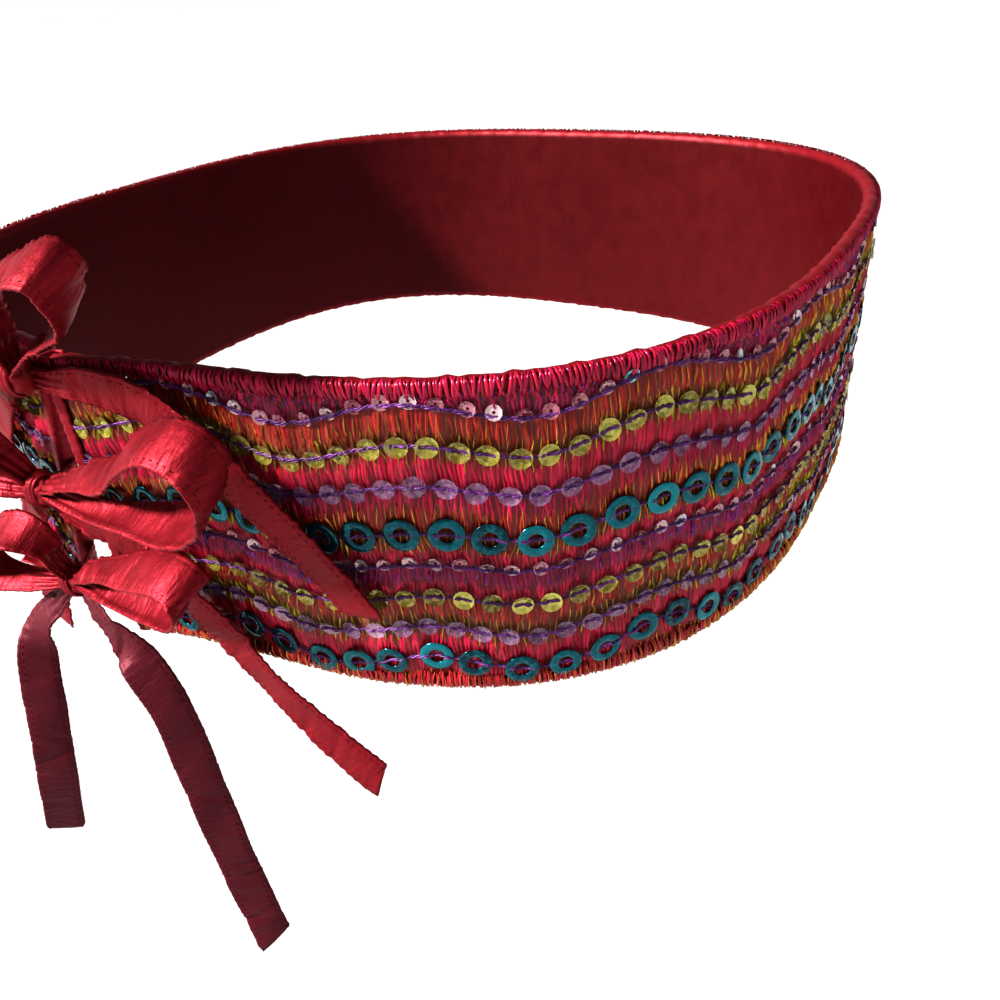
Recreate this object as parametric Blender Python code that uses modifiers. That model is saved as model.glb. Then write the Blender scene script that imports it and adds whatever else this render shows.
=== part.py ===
"""Wide sequin sash belt, worn round the hips and tied at the front with three bows.

Metres, +Z up. The origin is the middle of the ring that the belt makes, half way up it.
The wearer faces -Y, where the two ends of the sash meet, and the wearer's left is +X.
Sizes and tables are in millimetres, and MM turns them into metres.
"""

import math

import bmesh
import bpy
import numpy as np
from mathutils.geometry import tessellate_polygon

MM = 0.001
SEAM_GAP = 0.3
KNOT_GAP = 0.45

# The ring: a section of the hips, a superellipse a little wider than it is deep.
HALF_WIDTH = 138.0
HALF_DEPTH = 128.0
ROUNDNESS = 2.7
OUTLINE_SAMPLES = 4000
RING_STATIONS = 76

# The sash wall: an embroidered panel, and a satin lining that rolls over its long edges.
BELT_HEIGHT = 80.0
PANEL_THICKNESS = 2.0
LINING_THICKNESS = 1.0
LIP_HEIGHT = 2.8
LIP_ROUND = 0.4
# Heights of the points on the two flat faces that lie back to back, panel and lining.
SKIN_HEIGHTS = (-26.0, -13.0, 0.0, 13.0, 26.0)

# Sequin rows from the top down: columns height above the belt's middle and waver, how far the
# row rises and falls. The cloth is drawn in along each row and stands proud between two.
SEQUIN_ROWS = (
    (33.2, 3.2),
    (24.5, 3.0),
    (15.2, 2.5),
    (3.8, 2.2),
    (-4.5, 2.0),
    (-13.5, 2.3),
    (-22.5, 2.7),
    (-32.2, 3.4),
)
PUFF = 0.6
# The rows rise and fall together, with a crest at WAVER_CREST from the middle of the front.
WAVER_LENGTH = 53.5
WAVER_CREST = 80.0
UNEVEN_LENGTH = 131.0
UNEVEN_SHARE = 0.2

# The free ends: where each stops, along the ring from the middle of the front, at the top
# and at the bottom edge, how far it stands off the hips over its last stretch, and how far
# past its binding the middle of a strap's cloth starts.
LEFT_END = {"top": -1.0, "bottom": -5.0, "lift": 7.0, "reach": 46.0, "strap_gap": 0.9}
RIGHT_END = {"top": -10.5, "bottom": -36.5, "lift": 3.5, "reach": 60.0, "strap_gap": 1.9}
BINDING_WIDTH = 2.0
BINDING_STATIONS = 9

# Ties: flat satin strips, gathered in where they meet a knot.
TIE_WIDTH = 11.0
TIE_THICKNESS = 1.0
GATHERED_WIDTH = 4.6
GATHER_DEPTH = 0.22
STEPS_PER_ROW = 3
# A strap leaves the inner side of its binding, STRAP_ROOT out from the ring's line, bows by a
# share of its length, and meets its knot's back at least STRAP_SPREAD to its own side.
STRAP_STEPS = 6
STRAP_WIDTH = 6.5
STRAP_BOW = 0.4
STRAP_ROOT = -2.4
STRAP_SPREAD = 2.0

# One knot a bow: its middle, and its half sizes along X, Y and Z.
KNOTS = {
    "top": {"at": (-7.0, -139.8, 36.2), "half": (4.8, 3.8, 4.6)},
    "middle": {"at": (-18.5, -139.8, 3.8), "half": (5.2, 3.8, 4.8)},
    "bottom": {"at": (-22.0, -139.8, -25.5), "half": (5.0, 3.8, 4.6)},
}
KNOT_SIDES = 16
KNOT_RINGS = 10
KNOT_BAND = 0.5

# The way that a strip's width runs.
UP = (0, 0, 1)
ACROSS = (1, 0, 0)
SLANTED = (0.7, 0, 0.7)
BACK_SLANTED = (-0.7, 0, 0.7)
IN_AND_UP = (0, 0.87, 0.5)
HALF_TURNED = (0.65, 0.3, 0.65)
TURNED = (0.84, 0.54, 0)

# Loops and tails, each from its knot: columns x, y, z, width and the way that the width runs.
# A loop goes back to its knot, and a tail ends in a cut.
LOOPS = {
    "top_loop_left": (
        (-2.0, -143.0, 46.0, 7.0, IN_AND_UP),
        (2.0, -146.0, 52.0, TIE_WIDTH, IN_AND_UP),
        (10.0, -149.0, 59.0, TIE_WIDTH, IN_AND_UP),
        (24.0, -151.0, 65.5, TIE_WIDTH, IN_AND_UP),
        (36.0, -152.0, 69.0, TIE_WIDTH, IN_AND_UP),
        (40.5, -151.0, 67.5, TIE_WIDTH, IN_AND_UP),
        (38.5, -148.5, 62.5, TIE_WIDTH, IN_AND_UP),
        (31.0, -146.0, 56.0, 8.0, IN_AND_UP),
        (20.0, -144.8, 50.5, 6.5, IN_AND_UP),
        (9.0, -143.8, 45.5, 5.5, IN_AND_UP),
    ),
    "top_loop_right": (
        (-13.0, -143.0, 45.0, 7.0, IN_AND_UP),
        (-19.0, -147.0, 52.0, TIE_WIDTH, IN_AND_UP),
        (-31.0, -150.0, 56.0, TIE_WIDTH, IN_AND_UP),
        (-43.0, -150.0, 52.0, TIE_WIDTH, IN_AND_UP),
        (-46.0, -148.0, 44.0, TIE_WIDTH, IN_AND_UP),
        (-35.0, -145.5, 38.5, 8.0, IN_AND_UP),
        (-20.0, -143.0, 37.5, 6.0, IN_AND_UP),
    ),
    "middle_loop_left": (
        (-5.0, -143.0, 11.0, 6.0, IN_AND_UP),
        (11.0, -144.5, 17.5, 8.0, IN_AND_UP),
        (27.0, -147.0, 24.0, TIE_WIDTH, IN_AND_UP),
        (40.0, -149.0, 33.0, TIE_WIDTH, IN_AND_UP),
        (51.0, -150.0, 38.0, TIE_WIDTH, IN_AND_UP),
        (59.0, -150.0, 37.0, TIE_WIDTH, IN_AND_UP),
        (61.5, -149.0, 31.5, TIE_WIDTH, IN_AND_UP),
        (58.0, -148.0, 24.0, TIE_WIDTH, IN_AND_UP),
        (50.0, -147.0, 17.5, TIE_WIDTH, IN_AND_UP),
        (38.0, -146.0, 13.5, TIE_WIDTH, IN_AND_UP),
        (24.0, -145.0, 10.5, 8.0, IN_AND_UP),
        (7.0, -143.5, 7.0, 6.0, IN_AND_UP),
    ),
    "middle_loop_right": (
        (-22.0, -143.0, 13.0, 7.0, IN_AND_UP),
        (-27.0, -146.5, 19.5, TIE_WIDTH, IN_AND_UP),
        (-38.0, -149.0, 22.0, TIE_WIDTH, IN_AND_UP),
        (-49.0, -149.0, 15.0, TIE_WIDTH, IN_AND_UP),
        (-49.0, -148.0, 8.5, TIE_WIDTH, IN_AND_UP),
        (-39.0, -146.0, 5.0, 8.5, IN_AND_UP),
        (-29.0, -143.5, 4.5, 6.5, IN_AND_UP),
    ),
    "bottom_loop_left": (
        (-12.0, -143.0, -18.0, 6.0, IN_AND_UP),
        (5.0, -144.5, -10.0, 8.0, IN_AND_UP),
        (22.0, -146.0, -3.5, TIE_WIDTH, IN_AND_UP),
        (34.0, -147.0, -0.5, TIE_WIDTH, IN_AND_UP),
        (39.5, -147.0, -4.0, TIE_WIDTH, IN_AND_UP),
        (33.5, -147.0, -10.5, TIE_WIDTH, IN_AND_UP),
        (21.0, -146.0, -15.0, 8.0, IN_AND_UP),
        (5.0, -144.0, -19.5, 6.5, IN_AND_UP),
    ),
    "bottom_loop_right": (
        (-20.0, -143.5, -15.0, 6.5, IN_AND_UP),
        (-17.0, -145.5, -9.0, 8.0, IN_AND_UP),
        (-23.0, -148.0, -5.0, TIE_WIDTH, IN_AND_UP),
        (-37.0, -149.0, -9.5, TIE_WIDTH, IN_AND_UP),
        (-50.0, -148.5, -18.0, TIE_WIDTH, IN_AND_UP),
        (-50.0, -147.0, -26.5, TIE_WIDTH, IN_AND_UP),
        (-40.0, -145.0, -27.5, 8.0, IN_AND_UP),
        (-32.0, -143.5, -26.5, 6.0, IN_AND_UP),
    ),
}
TAILS = {
    "top_tail_left": (
        (2.5, -138.2, 35.4, 6.0, UP),
        (12.0, -137.0, 35.6, 9.0, UP),
        (23.0, -134.5, 33.0, TIE_WIDTH, SLANTED),
        (31.0, -133.4, 28.5, TIE_WIDTH, SLANTED),
        (38.0, -132.4, 22.5, TIE_WIDTH, SLANTED),
        (45.0, -131.0, 14.5, TIE_WIDTH, SLANTED),
        (53.0, -129.2, 4.5, TIE_WIDTH, SLANTED),
        (60.0, -127.4, -5.0, TIE_WIDTH, SLANTED),
        (67.0, -125.6, -16.0, TIE_WIDTH, SLANTED),
    ),
    "top_tail_right": (
        (-17.0, -138.0, 33.5, 7.0, UP),
        (-29.0, -134.6, 26.5, TIE_WIDTH, BACK_SLANTED),
        (-42.0, -132.4, 14.0, TIE_WIDTH, BACK_SLANTED),
        (-53.0, -130.4, -1.0, TIE_WIDTH, BACK_SLANTED),
        (-61.0, -128.6, -15.0, TIE_WIDTH, BACK_SLANTED),
    ),
    "middle_tail_left": (
        (-9.5, -139.3, -3.2, 6.5, SLANTED),
        (2.0, -138.2, -6.5, 8.5, SLANTED),
        (11.0, -137.4, -11.0, TIE_WIDTH, SLANTED),
        (18.0, -136.4, -17.0, TIE_WIDTH, SLANTED),
        (24.0, -135.2, -25.0, TIE_WIDTH, SLANTED),
        (31.0, -133.6, -36.0, TIE_WIDTH, SLANTED),
        (40.0, -131.6, -49.0, TIE_WIDTH, SLANTED),
        (51.0, -130.0, -61.0, TIE_WIDTH, HALF_TURNED),
        (63.0, -127.5, -73.0, TIE_WIDTH, HALF_TURNED),
    ),
    "middle_tail_right": (
        (-28.0, -138.0, -3.5, 7.0, BACK_SLANTED),
        (-39.0, -135.0, -13.0, TIE_WIDTH, BACK_SLANTED),
        (-49.0, -133.0, -26.0, TIE_WIDTH, BACK_SLANTED),
        (-56.0, -132.0, -42.0, TIE_WIDTH, ACROSS),
        (-60.0, -132.0, -60.0, TIE_WIDTH, ACROSS),
    ),
    "bottom_tail_left": (
        (-14.0, -142.0, -31.8, 8.0, SLANTED),
        (-7.0, -142.8, -38.0, TIE_WIDTH, ACROSS),
        (0.6, -143.3, -46.0, TIE_WIDTH, TURNED),
        (6.6, -143.8, -57.5, TIE_WIDTH, TURNED),
        (9.6, -144.8, -73.0, TIE_WIDTH, TURNED),
        (13.8, -146.9, -93.0, TIE_WIDTH, TURNED),
        (18.6, -148.6, -120.0, TIE_WIDTH, TURNED),
        (25.0, -150.3, -145.0, TIE_WIDTH, TURNED),
    ),
    "bottom_tail_right": (
        (-30.5, -143.0, -34.0, 7.0, ACROSS),
        (-38.0, -146.5, -42.0, 9.0, ACROSS),
        (-39.8, -150.6, -52.5, TIE_WIDTH, TURNED),
        (-38.2, -155.9, -70.0, TIE_WIDTH, TURNED),
        (-38.2, -160.9, -89.5, TIE_WIDTH, TURNED),
        (-43.0, -164.8, -115.5, TIE_WIDTH, TURNED),
    ),
}
# How much further a tail's upper or right edge runs than its middle, to its slanted cut.
TAIL_CUTS = {
    "top_tail_left": 2.5,
    "top_tail_right": 2.5,
    "middle_tail_left": -2.5,
    "middle_tail_right": 2.0,
    "bottom_tail_left": -2.5,
    "bottom_tail_right": 0.0,
}

EMBROIDERY = {"color": (0.55, 0.04, 0.10, 1.0), "roughness": 0.45}
SATIN = {"color": (0.60, 0.03, 0.05, 1.0), "roughness": 0.35}
LINING_SATIN = {"color": (0.22, 0.015, 0.02, 1.0), "roughness": 0.4}


def clear_scene():
    for obj in list(bpy.data.objects):
        bpy.data.objects.remove(obj, do_unlink=True)


def cloth_material(name, look):
    material = bpy.data.materials.new(name)
    material.use_nodes = True
    shader = material.node_tree.nodes["Principled BSDF"]
    shader.inputs["Base Color"].default_value = look["color"]
    shader.inputs["Roughness"].default_value = look["roughness"]
    shader.inputs["Metallic"].default_value = 0.0
    return material


def ring_outline():
    """The ring's line as length along it, x and y, from the middle of the front towards +X."""
    turn = np.linspace(0.0, 2.0 * math.pi, OUTLINE_SAMPLES + 1)
    power = 2.0 / ROUNDNESS
    x = HALF_WIDTH * np.sign(np.sin(turn)) * np.abs(np.sin(turn)) ** power
    y = -HALF_DEPTH * np.sign(np.cos(turn)) * np.abs(np.cos(turn)) ** power
    steps = np.hypot(np.diff(x), np.diff(y))
    return np.concatenate([[0.0], np.cumsum(steps)]), x, y


LENGTHS, OUTLINE_X, OUTLINE_Y = ring_outline()
RING_LENGTH = LENGTHS[-1]


def end_at(end, z):
    """Where an end of the sash stops at height z, along the ring from the middle of the front."""
    down = 0.5 - z / BELT_HEIGHT
    return end["top"] + (end["bottom"] - end["top"]) * down


def stand_off(end, along):
    """How far the sash stands off the hips at a length from its end."""
    left = max(0.0, 1.0 - along / end["reach"])
    return end["lift"] * left**2


def wall_point(along, z, out):
    """A point of the sash wall: along the ring, at height z, and out from the ring's line."""
    at = along % RING_LENGTH
    x = float(np.interp(at, LENGTHS, OUTLINE_X))
    y = float(np.interp(at, LENGTHS, OUTLINE_Y))
    normal = np.array(
        [
            math.copysign(abs(x / HALF_WIDTH) ** (ROUNDNESS - 1.0) / HALF_WIDTH, x),
            math.copysign(abs(y / HALF_DEPTH) ** (ROUNDNESS - 1.0) / HALF_DEPTH, y),
        ]
    )
    normal /= np.linalg.norm(normal)
    lift = stand_off(LEFT_END, along - end_at(LEFT_END, z))
    lift += stand_off(RIGHT_END, RING_LENGTH + end_at(RIGHT_END, z) - along)
    return (x + normal[0] * (out + lift), y + normal[1] * (out + lift), z)


def loft(name, profile, sections, material):
    """A closed solid through sections that all place one flat profile, with flat ends."""
    mesh = bmesh.new()
    rings = []
    for section in sections:
        rings.append([mesh.verts.new([value * MM for value in point]) for point in section])
    count = len(profile)
    for first, second in zip(rings, rings[1:]):
        for i in range(count):
            j = (i + 1) % count
            mesh.faces.new((first[i], first[j], second[j], second[i]))
    for corners in tessellate_polygon([[(u, v, 0.0) for u, v in profile]]):
        mesh.faces.new([rings[0][i] for i in corners])
        mesh.faces.new([rings[-1][i] for i in corners])
    bmesh.ops.recalc_face_normals(mesh, faces=mesh.faces[:])
    return add_object(name, mesh, material)


def add_object(name, mesh, material):
    data = bpy.data.meshes.new(name)
    mesh.to_mesh(data)
    mesh.free()
    data.materials.append(material)
    data.shade_smooth()
    data.set_sharp_from_angle(angle=math.radians(50))
    obj = bpy.data.objects.new(name, data)
    belt.objects.link(obj)
    return obj


def waver(along):
    """How the sequin rows rise and fall along the sash, from -1 to 1."""
    even = math.cos(2.0 * math.pi * (along - WAVER_CREST) / WAVER_LENGTH)
    uneven = math.cos(2.0 * math.pi * along / UNEVEN_LENGTH)
    return (1.0 - UNEVEN_SHARE) * even + UNEVEN_SHARE * uneven


def panel_profile(along):
    """The panel's section: its quilted outer face from the top down, then its plain back."""
    top = BELT_HEIGHT / 2 - LINING_THICKNESS - SEAM_GAP
    lip = BELT_HEIGHT / 2 - LIP_HEIGHT - SEAM_GAP
    heights = [height + reach * waver(along) for height, reach in SEQUIN_ROWS]
    profile = [(0.0, top), (0.0, lip)]
    above = lip
    for z in heights:
        profile.append((PUFF, (above + z) / 2))
        profile.append((0.0, z))
        above = z
    profile += [(0.0, -lip), (0.0, -top), (-PANEL_THICKNESS, -top)]
    profile += [(-PANEL_THICKNESS, z) for z in SKIN_HEIGHTS]
    profile.append((-PANEL_THICKNESS, top))
    return profile


def lining_profile():
    """The lining's section: a skin behind the panel whose edges roll over to its front."""
    skin = -PANEL_THICKNESS - SEAM_GAP
    back = skin - LINING_THICKNESS
    lip = SEAM_GAP + LINING_THICKNESS
    top = BELT_HEIGHT / 2
    under = top - LINING_THICKNESS
    edge = [
        (skin, under),
        (SEAM_GAP, under),
        (SEAM_GAP, top - LIP_HEIGHT),
        (lip, top - LIP_HEIGHT),
        (lip, top - LIP_ROUND),
        (lip - LIP_ROUND, top),
        (back + LIP_ROUND, top),
        (back, top - LIP_ROUND),
    ]
    inside = [(skin, z) for z in SKIN_HEIGHTS]
    outside = [(back, z) for z in reversed(SKIN_HEIGHTS)]
    lower_edge = [(out, -z) for out, z in reversed(edge)]
    return inside + edge + outside + lower_edge


def round_the_body(name, profile_at, material):
    """A closed profile carried round the ring from the sash's left end to its right end."""
    sections = []
    for station in range(RING_STATIONS):
        share = station / (RING_STATIONS - 1)
        middle = share * (RING_LENGTH + end_at(RIGHT_END, 0.0)) + (1 - share) * end_at(LEFT_END, 0.0)
        section = []
        for out, z in profile_at(middle):
            start = end_at(LEFT_END, z)
            stop = RING_LENGTH + end_at(RIGHT_END, z)
            section.append(wall_point(start + share * (stop - start), z, out))
        sections.append(section)
    return loft(name, profile_at(0.0), sections, material)


def beyond_end(end, z, distance):
    """A length along the ring that lies a distance past an end of the sash."""
    if end is LEFT_END:
        return end_at(end, z) - distance
    return RING_LENGTH + end_at(end, z) + distance


def end_binding(name, end, material):
    """A folded satin strip that closes an end of the sash from edge to edge."""
    inner = -PANEL_THICKNESS - SEAM_GAP - LINING_THICKNESS
    outer = SEAM_GAP + LINING_THICKNESS
    near = SEAM_GAP
    far = SEAM_GAP + BINDING_WIDTH
    corner = LIP_ROUND
    profile = [
        (near, inner + corner),
        (near, outer - corner),
        (near + corner, outer),
        (far - corner, outer),
        (far, outer - 2 * corner),
        (far, inner + 2 * corner),
        (far - corner, inner),
        (near + corner, inner),
    ]
    sections = []
    for station in range(BINDING_STATIONS):
        z = BELT_HEIGHT * (station / (BINDING_STATIONS - 1) - 0.5)
        sections.append([wall_point(beyond_end(end, z, past), z, out) for past, out in profile])
    return loft(name, profile, sections, material)


def knot_surface(knot, direction):
    """The point just clear of a knot's surface, from its middle in a direction."""
    unit = np.array(direction) / np.linalg.norm(direction)
    reach = 1.0 / np.linalg.norm(unit / np.array(knot["half"]))
    return np.array(knot["at"]) + unit * (reach + KNOT_GAP)


def smooth_rows(rows):
    """Rows of numbers read off a smooth curve through the given rows."""
    rows = np.array(rows)
    padded = np.vstack([2 * rows[0] - rows[1], rows, 2 * rows[-1] - rows[-2]])
    found = []
    for i in range(1, len(padded) - 2):
        a, b, c, d = padded[i - 1 : i + 3]
        for step in range(STEPS_PER_ROW):
            t = step / STEPS_PER_ROW
            found.append(
                0.5 * (2 * b + (c - a) * t + (2 * a - 5 * b + 4 * c - d) * t**2 + (3 * b - a - 3 * c + d) * t**3)
            )
    found.append(rows[-1])
    return np.array(found)


def strip(name, rows, material, cut=0.0):
    """A flat strip of cloth: a grid laid along rows of x, y, z, width and width direction."""
    flat = smooth_rows([[x, y, z, width, *way] for x, y, z, width, way in rows])
    middle = flat[:, :3]
    tangent = np.gradient(middle, axis=0)
    tangent /= np.linalg.norm(tangent, axis=1)[:, None]
    way = flat[:, 4:]
    way = way - (way * tangent).sum(axis=1)[:, None] * tangent
    way /= np.linalg.norm(way, axis=1)[:, None]
    normal = np.cross(tangent, way)

    mesh = bmesh.new()
    bmesh.ops.create_grid(mesh, x_segments=len(flat) - 1, y_segments=2, size=1.0)
    for vert in mesh.verts:
        row = round((vert.co.x + 1.0) / 2.0 * (len(flat) - 1))
        across = round(vert.co.y)
        width = flat[row, 3]
        point = middle[row] + way[row] * across * width / 2
        if across == 0:
            point = point + normal[row] * GATHER_DEPTH * (TIE_WIDTH - width)
        if row == len(flat) - 1:
            point = point + tangent[row] * across * cut
        vert.co = point * MM
    obj = add_object(name, mesh, material)
    wall = obj.modifiers.new("cloth", "SOLIDIFY")
    wall.thickness = TIE_THICKNESS * MM
    wall.offset = 0.0
    return obj


def tie_loop(name, knot, rows, material):
    start = knot_surface(knot, np.array(rows[0][:3]) - knot["at"])
    stop = knot_surface(knot, np.array(rows[-1][:3]) - knot["at"])
    first = (*start, GATHERED_WIDTH, IN_AND_UP)
    last = (*stop, GATHERED_WIDTH, IN_AND_UP)
    return strip(name, (first, *rows, last), material)


def tie_tail(name, knot, rows, material):
    start = knot_surface(knot, np.array(rows[0][:3]) - knot["at"])
    first = (*start, GATHERED_WIDTH, rows[0][4])
    return strip(name, (first, *rows), material, cut=TAIL_CUTS[name])


def tie_strap(name, knot, end, material):
    """The stretch of a tie from the sash's end to its knot, which it meets from behind."""
    z = knot["at"][2]
    past = SEAM_GAP + BINDING_WIDTH + end["strap_gap"]
    root = np.array(wall_point(beyond_end(end, z, past), z, STRAP_ROOT))
    away = np.array(wall_point(beyond_end(end, z, past + 1.0), z, STRAP_ROOT)) - root
    along_edge = np.array(wall_point(beyond_end(end, z + 1.0, past), z + 1.0, STRAP_ROOT)) - root
    behind = np.array(knot["at"]) + (0.0, knot["half"][1], 0.0)
    towards = (root + away + behind) / 2 - knot["at"]
    side = -math.copysign(1.0, away[0])
    towards[0] = side * max(side * towards[0], STRAP_SPREAD)
    stop = knot_surface(knot, towards)
    bow = STRAP_BOW * np.linalg.norm(stop - root)
    rows = []
    for step in range(STRAP_STEPS):
        t = step / (STRAP_STEPS - 1)
        point = root + t * (stop - root) + away * bow * t * (1 - t)
        width = STRAP_WIDTH + t * (GATHERED_WIDTH - STRAP_WIDTH)
        rows.append((*point, width, along_edge))
    return strip(name, rows, material)


def tie_knot(name, knot, material):
    """A soft ball with the band of cloth that wraps it standing proud across its middle."""
    mesh = bmesh.new()
    bmesh.ops.create_uvsphere(mesh, u_segments=KNOT_SIDES, v_segments=KNOT_RINGS, radius=1.0)
    for vert in mesh.verts:
        band = abs(vert.co.x) < KNOT_BAND
        swell = 1.0 if band else 0.88
        x, y, z = vert.co
        point = np.array([x, y * swell, z * swell]) * knot["half"] + knot["at"]
        vert.co = point * MM
    return add_object(name, mesh, material)


clear_scene()
belt = bpy.data.collections.new("SequinBelt")
bpy.context.scene.collection.children.link(belt)
embroidery = cloth_material("Embroidery", EMBROIDERY)
satin = cloth_material("Satin", SATIN)
lining_satin = cloth_material("LiningSatin", LINING_SATIN)

round_the_body("sash_panel", panel_profile, embroidery)
round_the_body("sash_lining", lambda along: lining_profile(), lining_satin)
end_binding("end_binding_left", LEFT_END, satin)
end_binding("end_binding_right", RIGHT_END, satin)

for bow, knot in KNOTS.items():
    tie_knot(bow + "_knot", knot, satin)
    for side, end in (("left", LEFT_END), ("right", RIGHT_END)):
        tie_strap(f"{bow}_strap_{side}", knot, end, satin)
        loop = f"{bow}_loop_{side}"
        tie_loop(loop, knot, LOOPS[loop], satin)
        tail = f"{bow}_tail_{side}"
        tie_tail(tail, knot, TAILS[tail], satin)
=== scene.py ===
import math

import bmesh
import bpy
import numpy as np
from mathutils import Matrix, Vector


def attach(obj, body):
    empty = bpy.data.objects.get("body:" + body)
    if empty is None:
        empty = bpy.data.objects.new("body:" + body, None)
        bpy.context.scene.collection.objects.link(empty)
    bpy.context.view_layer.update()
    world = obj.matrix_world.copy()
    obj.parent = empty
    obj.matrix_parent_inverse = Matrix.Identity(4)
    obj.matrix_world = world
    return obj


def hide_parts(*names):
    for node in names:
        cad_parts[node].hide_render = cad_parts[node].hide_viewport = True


# Sequin belt. Lengths in the settings are in millimetres, and mm turns them into metres.
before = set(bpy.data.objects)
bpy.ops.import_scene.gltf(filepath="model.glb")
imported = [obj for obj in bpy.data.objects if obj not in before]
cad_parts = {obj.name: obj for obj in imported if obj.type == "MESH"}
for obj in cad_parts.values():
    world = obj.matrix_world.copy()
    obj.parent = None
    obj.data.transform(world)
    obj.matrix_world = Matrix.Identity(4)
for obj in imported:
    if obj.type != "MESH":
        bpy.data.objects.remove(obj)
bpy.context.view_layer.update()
mm = 0.001
dice = np.random.default_rng(21)


# ---- the belt's form, as the frame has it ----

beltForm = {
    "halfWidth": 138.0,
    "halfDepth": 128.0,
    "roundness": 2.7,
    "height": 80.0,
    "seam": 0.3,
    "panel": 2.0,
    "lining": 1.0,
    "lip": 2.8,
    "puff": 0.6,
    "binding": 2.0,
    "ringSteps": 6000,
    "left": {"top": -1.0, "bottom": -5.0, "lift": 7.0, "reach": 46.0},
    "right": {"top": -10.5, "bottom": -36.5, "lift": 3.5, "reach": 60.0},
}

# Sequin rows from the top down: height above the belt's middle, and how far the row wavers.
rowLines = (
    (33.2, 3.2), (24.5, 3.0), (15.2, 2.5), (3.8, 2.2),
    (-4.5, 2.0), (-13.5, 2.3), (-22.5, 2.7), (-32.2, 3.4),
)
lastBand = len(rowLines) + 1

waverForm = {"length": 53.5, "crest": 80.0, "unevenLength": 131.0, "unevenShare": 0.2}

panelTop = beltForm["height"] / 2 - beltForm["lining"] - beltForm["seam"]
lipEdge = beltForm["height"] / 2 - beltForm["lip"]


def ringLine(form):
    # The ring seen from above, as the way along it from the front, x and y.
    turn = np.linspace(0.0, 2.0 * math.pi, form["ringSteps"] + 1)
    power = 2.0 / form["roundness"]
    x = form["halfWidth"] * np.sign(np.sin(turn)) * np.abs(np.sin(turn)) ** power
    y = -form["halfDepth"] * np.sign(np.cos(turn)) * np.abs(np.cos(turn)) ** power
    return lengthAlong(np.stack([x, y], axis=-1)), x, y


def lengthAlong(line):
    return np.concatenate([[0.0], np.cumsum(np.linalg.norm(np.diff(line, axis=0), axis=1))])


ringAt, ringX, ringY = ringLine(beltForm)
ringLength = ringAt[-1]


def endAt(end, z):
    down = 0.5 - z / beltForm["height"]
    return end["top"] + (end["bottom"] - end["top"]) * down


def sashStart(z):
    return endAt(beltForm["left"], z)


def sashStop(z):
    return ringLength + endAt(beltForm["right"], z)


def wallNormal(along):
    at = np.mod(along, ringLength)
    x = np.interp(at, ringAt, ringX)
    y = np.interp(at, ringAt, ringY)
    power = beltForm["roundness"] - 1.0
    nx = np.sign(x) * np.abs(x / beltForm["halfWidth"]) ** power / beltForm["halfWidth"]
    ny = np.sign(y) * np.abs(y / beltForm["halfDepth"]) ** power / beltForm["halfDepth"]
    size = np.hypot(nx, ny)
    return x, y, nx / size, ny / size


def wallPoint(along, z, out):
    # out is measured from the panel's outer face, and the two ends lift away from the ring.
    x, y, nx, ny = wallNormal(along)
    left, right = beltForm["left"], beltForm["right"]
    lift = left["lift"] * np.clip(1.0 - (along - sashStart(z)) / left["reach"], 0.0, None) ** 2
    lift = lift + right["lift"] * np.clip(1.0 - (sashStop(z) - along) / right["reach"], 0.0, None) ** 2
    z = z + 0.0 * along  # one height for each place
    return np.stack([x + nx * (out + lift), y + ny * (out + lift), z], axis=-1)


def waver(along):
    even = np.cos(2.0 * math.pi * (along - waverForm["crest"]) / waverForm["length"])
    uneven = np.cos(2.0 * math.pi * along / waverForm["unevenLength"])
    share = waverForm["unevenShare"]
    return (1.0 - share) * even + share * uneven


# A band number runs from 0 at the upper lip through 1 to 8 on the sequin rows to 9 at the lower lip.
def bandEdges(along):
    rise = waver(along)
    edges = [panelTop + 0.0 * along]
    edges += [height + reach * rise for height, reach in rowLines]
    edges.append(-panelTop + 0.0 * along)
    return edges


def bandOf(along, z):
    edges = bandEdges(along)
    band = 0.0 * along
    for upper, lower in zip(edges, edges[1:]):
        band = band + np.clip((upper - z) / (upper - lower), 0.0, 1.0)
    return band


def heightOf(along, band):
    edges = bandEdges(along)
    z = edges[0] + 0.0 * band
    for k, (upper, lower) in enumerate(zip(edges, edges[1:])):
        z = z + (lower - upper) * np.clip(band - k, 0.0, 1.0)
    return z


# Folds are the deep troughs that run down the belt, gathers the fine ones between the rows.
clothRelief = {
    "puffSharpness": 0.8,
    "swell": 0.35,
    "swellLength": 26.75,
    "swellShift": 0.55,
    "gather": 0.16,
    "gatherAtRows": 0.35,
    "gatherLengths": (2.9, 4.3, 6.1, 11.0),
    "foldEvery": 13.4,
    "foldStray": 4.0,
    "foldsFrom": 6.0,
    "foldsTo": 30.0,
    "foldDeep": (0.25, 1.15),
    "foldShares": (1.0, 1.0, 0.5),
    "foldWide": (2.2, 4.6),
    "foldLean": 1.1,
    "foldMiddle": (-1.0, 10.0),
    "foldReach": (2.5, 6.0),
    "lipFade": 1.8,
    "lipClear": 0.2,
    "underLip": 0.1,
    "endFade": 4.0,
}


def uprightFolds(form):
    # Soft troughs that run down the belt, some of them fading out before its lower edge.
    places = np.arange(form["foldsFrom"], ringLength - form["foldsTo"], form["foldEvery"])
    count = len(places)
    return np.stack([
        places + dice.uniform(-form["foldStray"], form["foldStray"], count),
        dice.uniform(*form["foldDeep"], count) * dice.choice(form["foldShares"], count),
        dice.uniform(*form["foldWide"], count),
        dice.uniform(-form["foldLean"], form["foldLean"], count),
        dice.uniform(*form["foldMiddle"], count),
        dice.uniform(*form["foldReach"], count)], axis=-1)


foldTroughs = uprightFolds(clothRelief)


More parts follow.
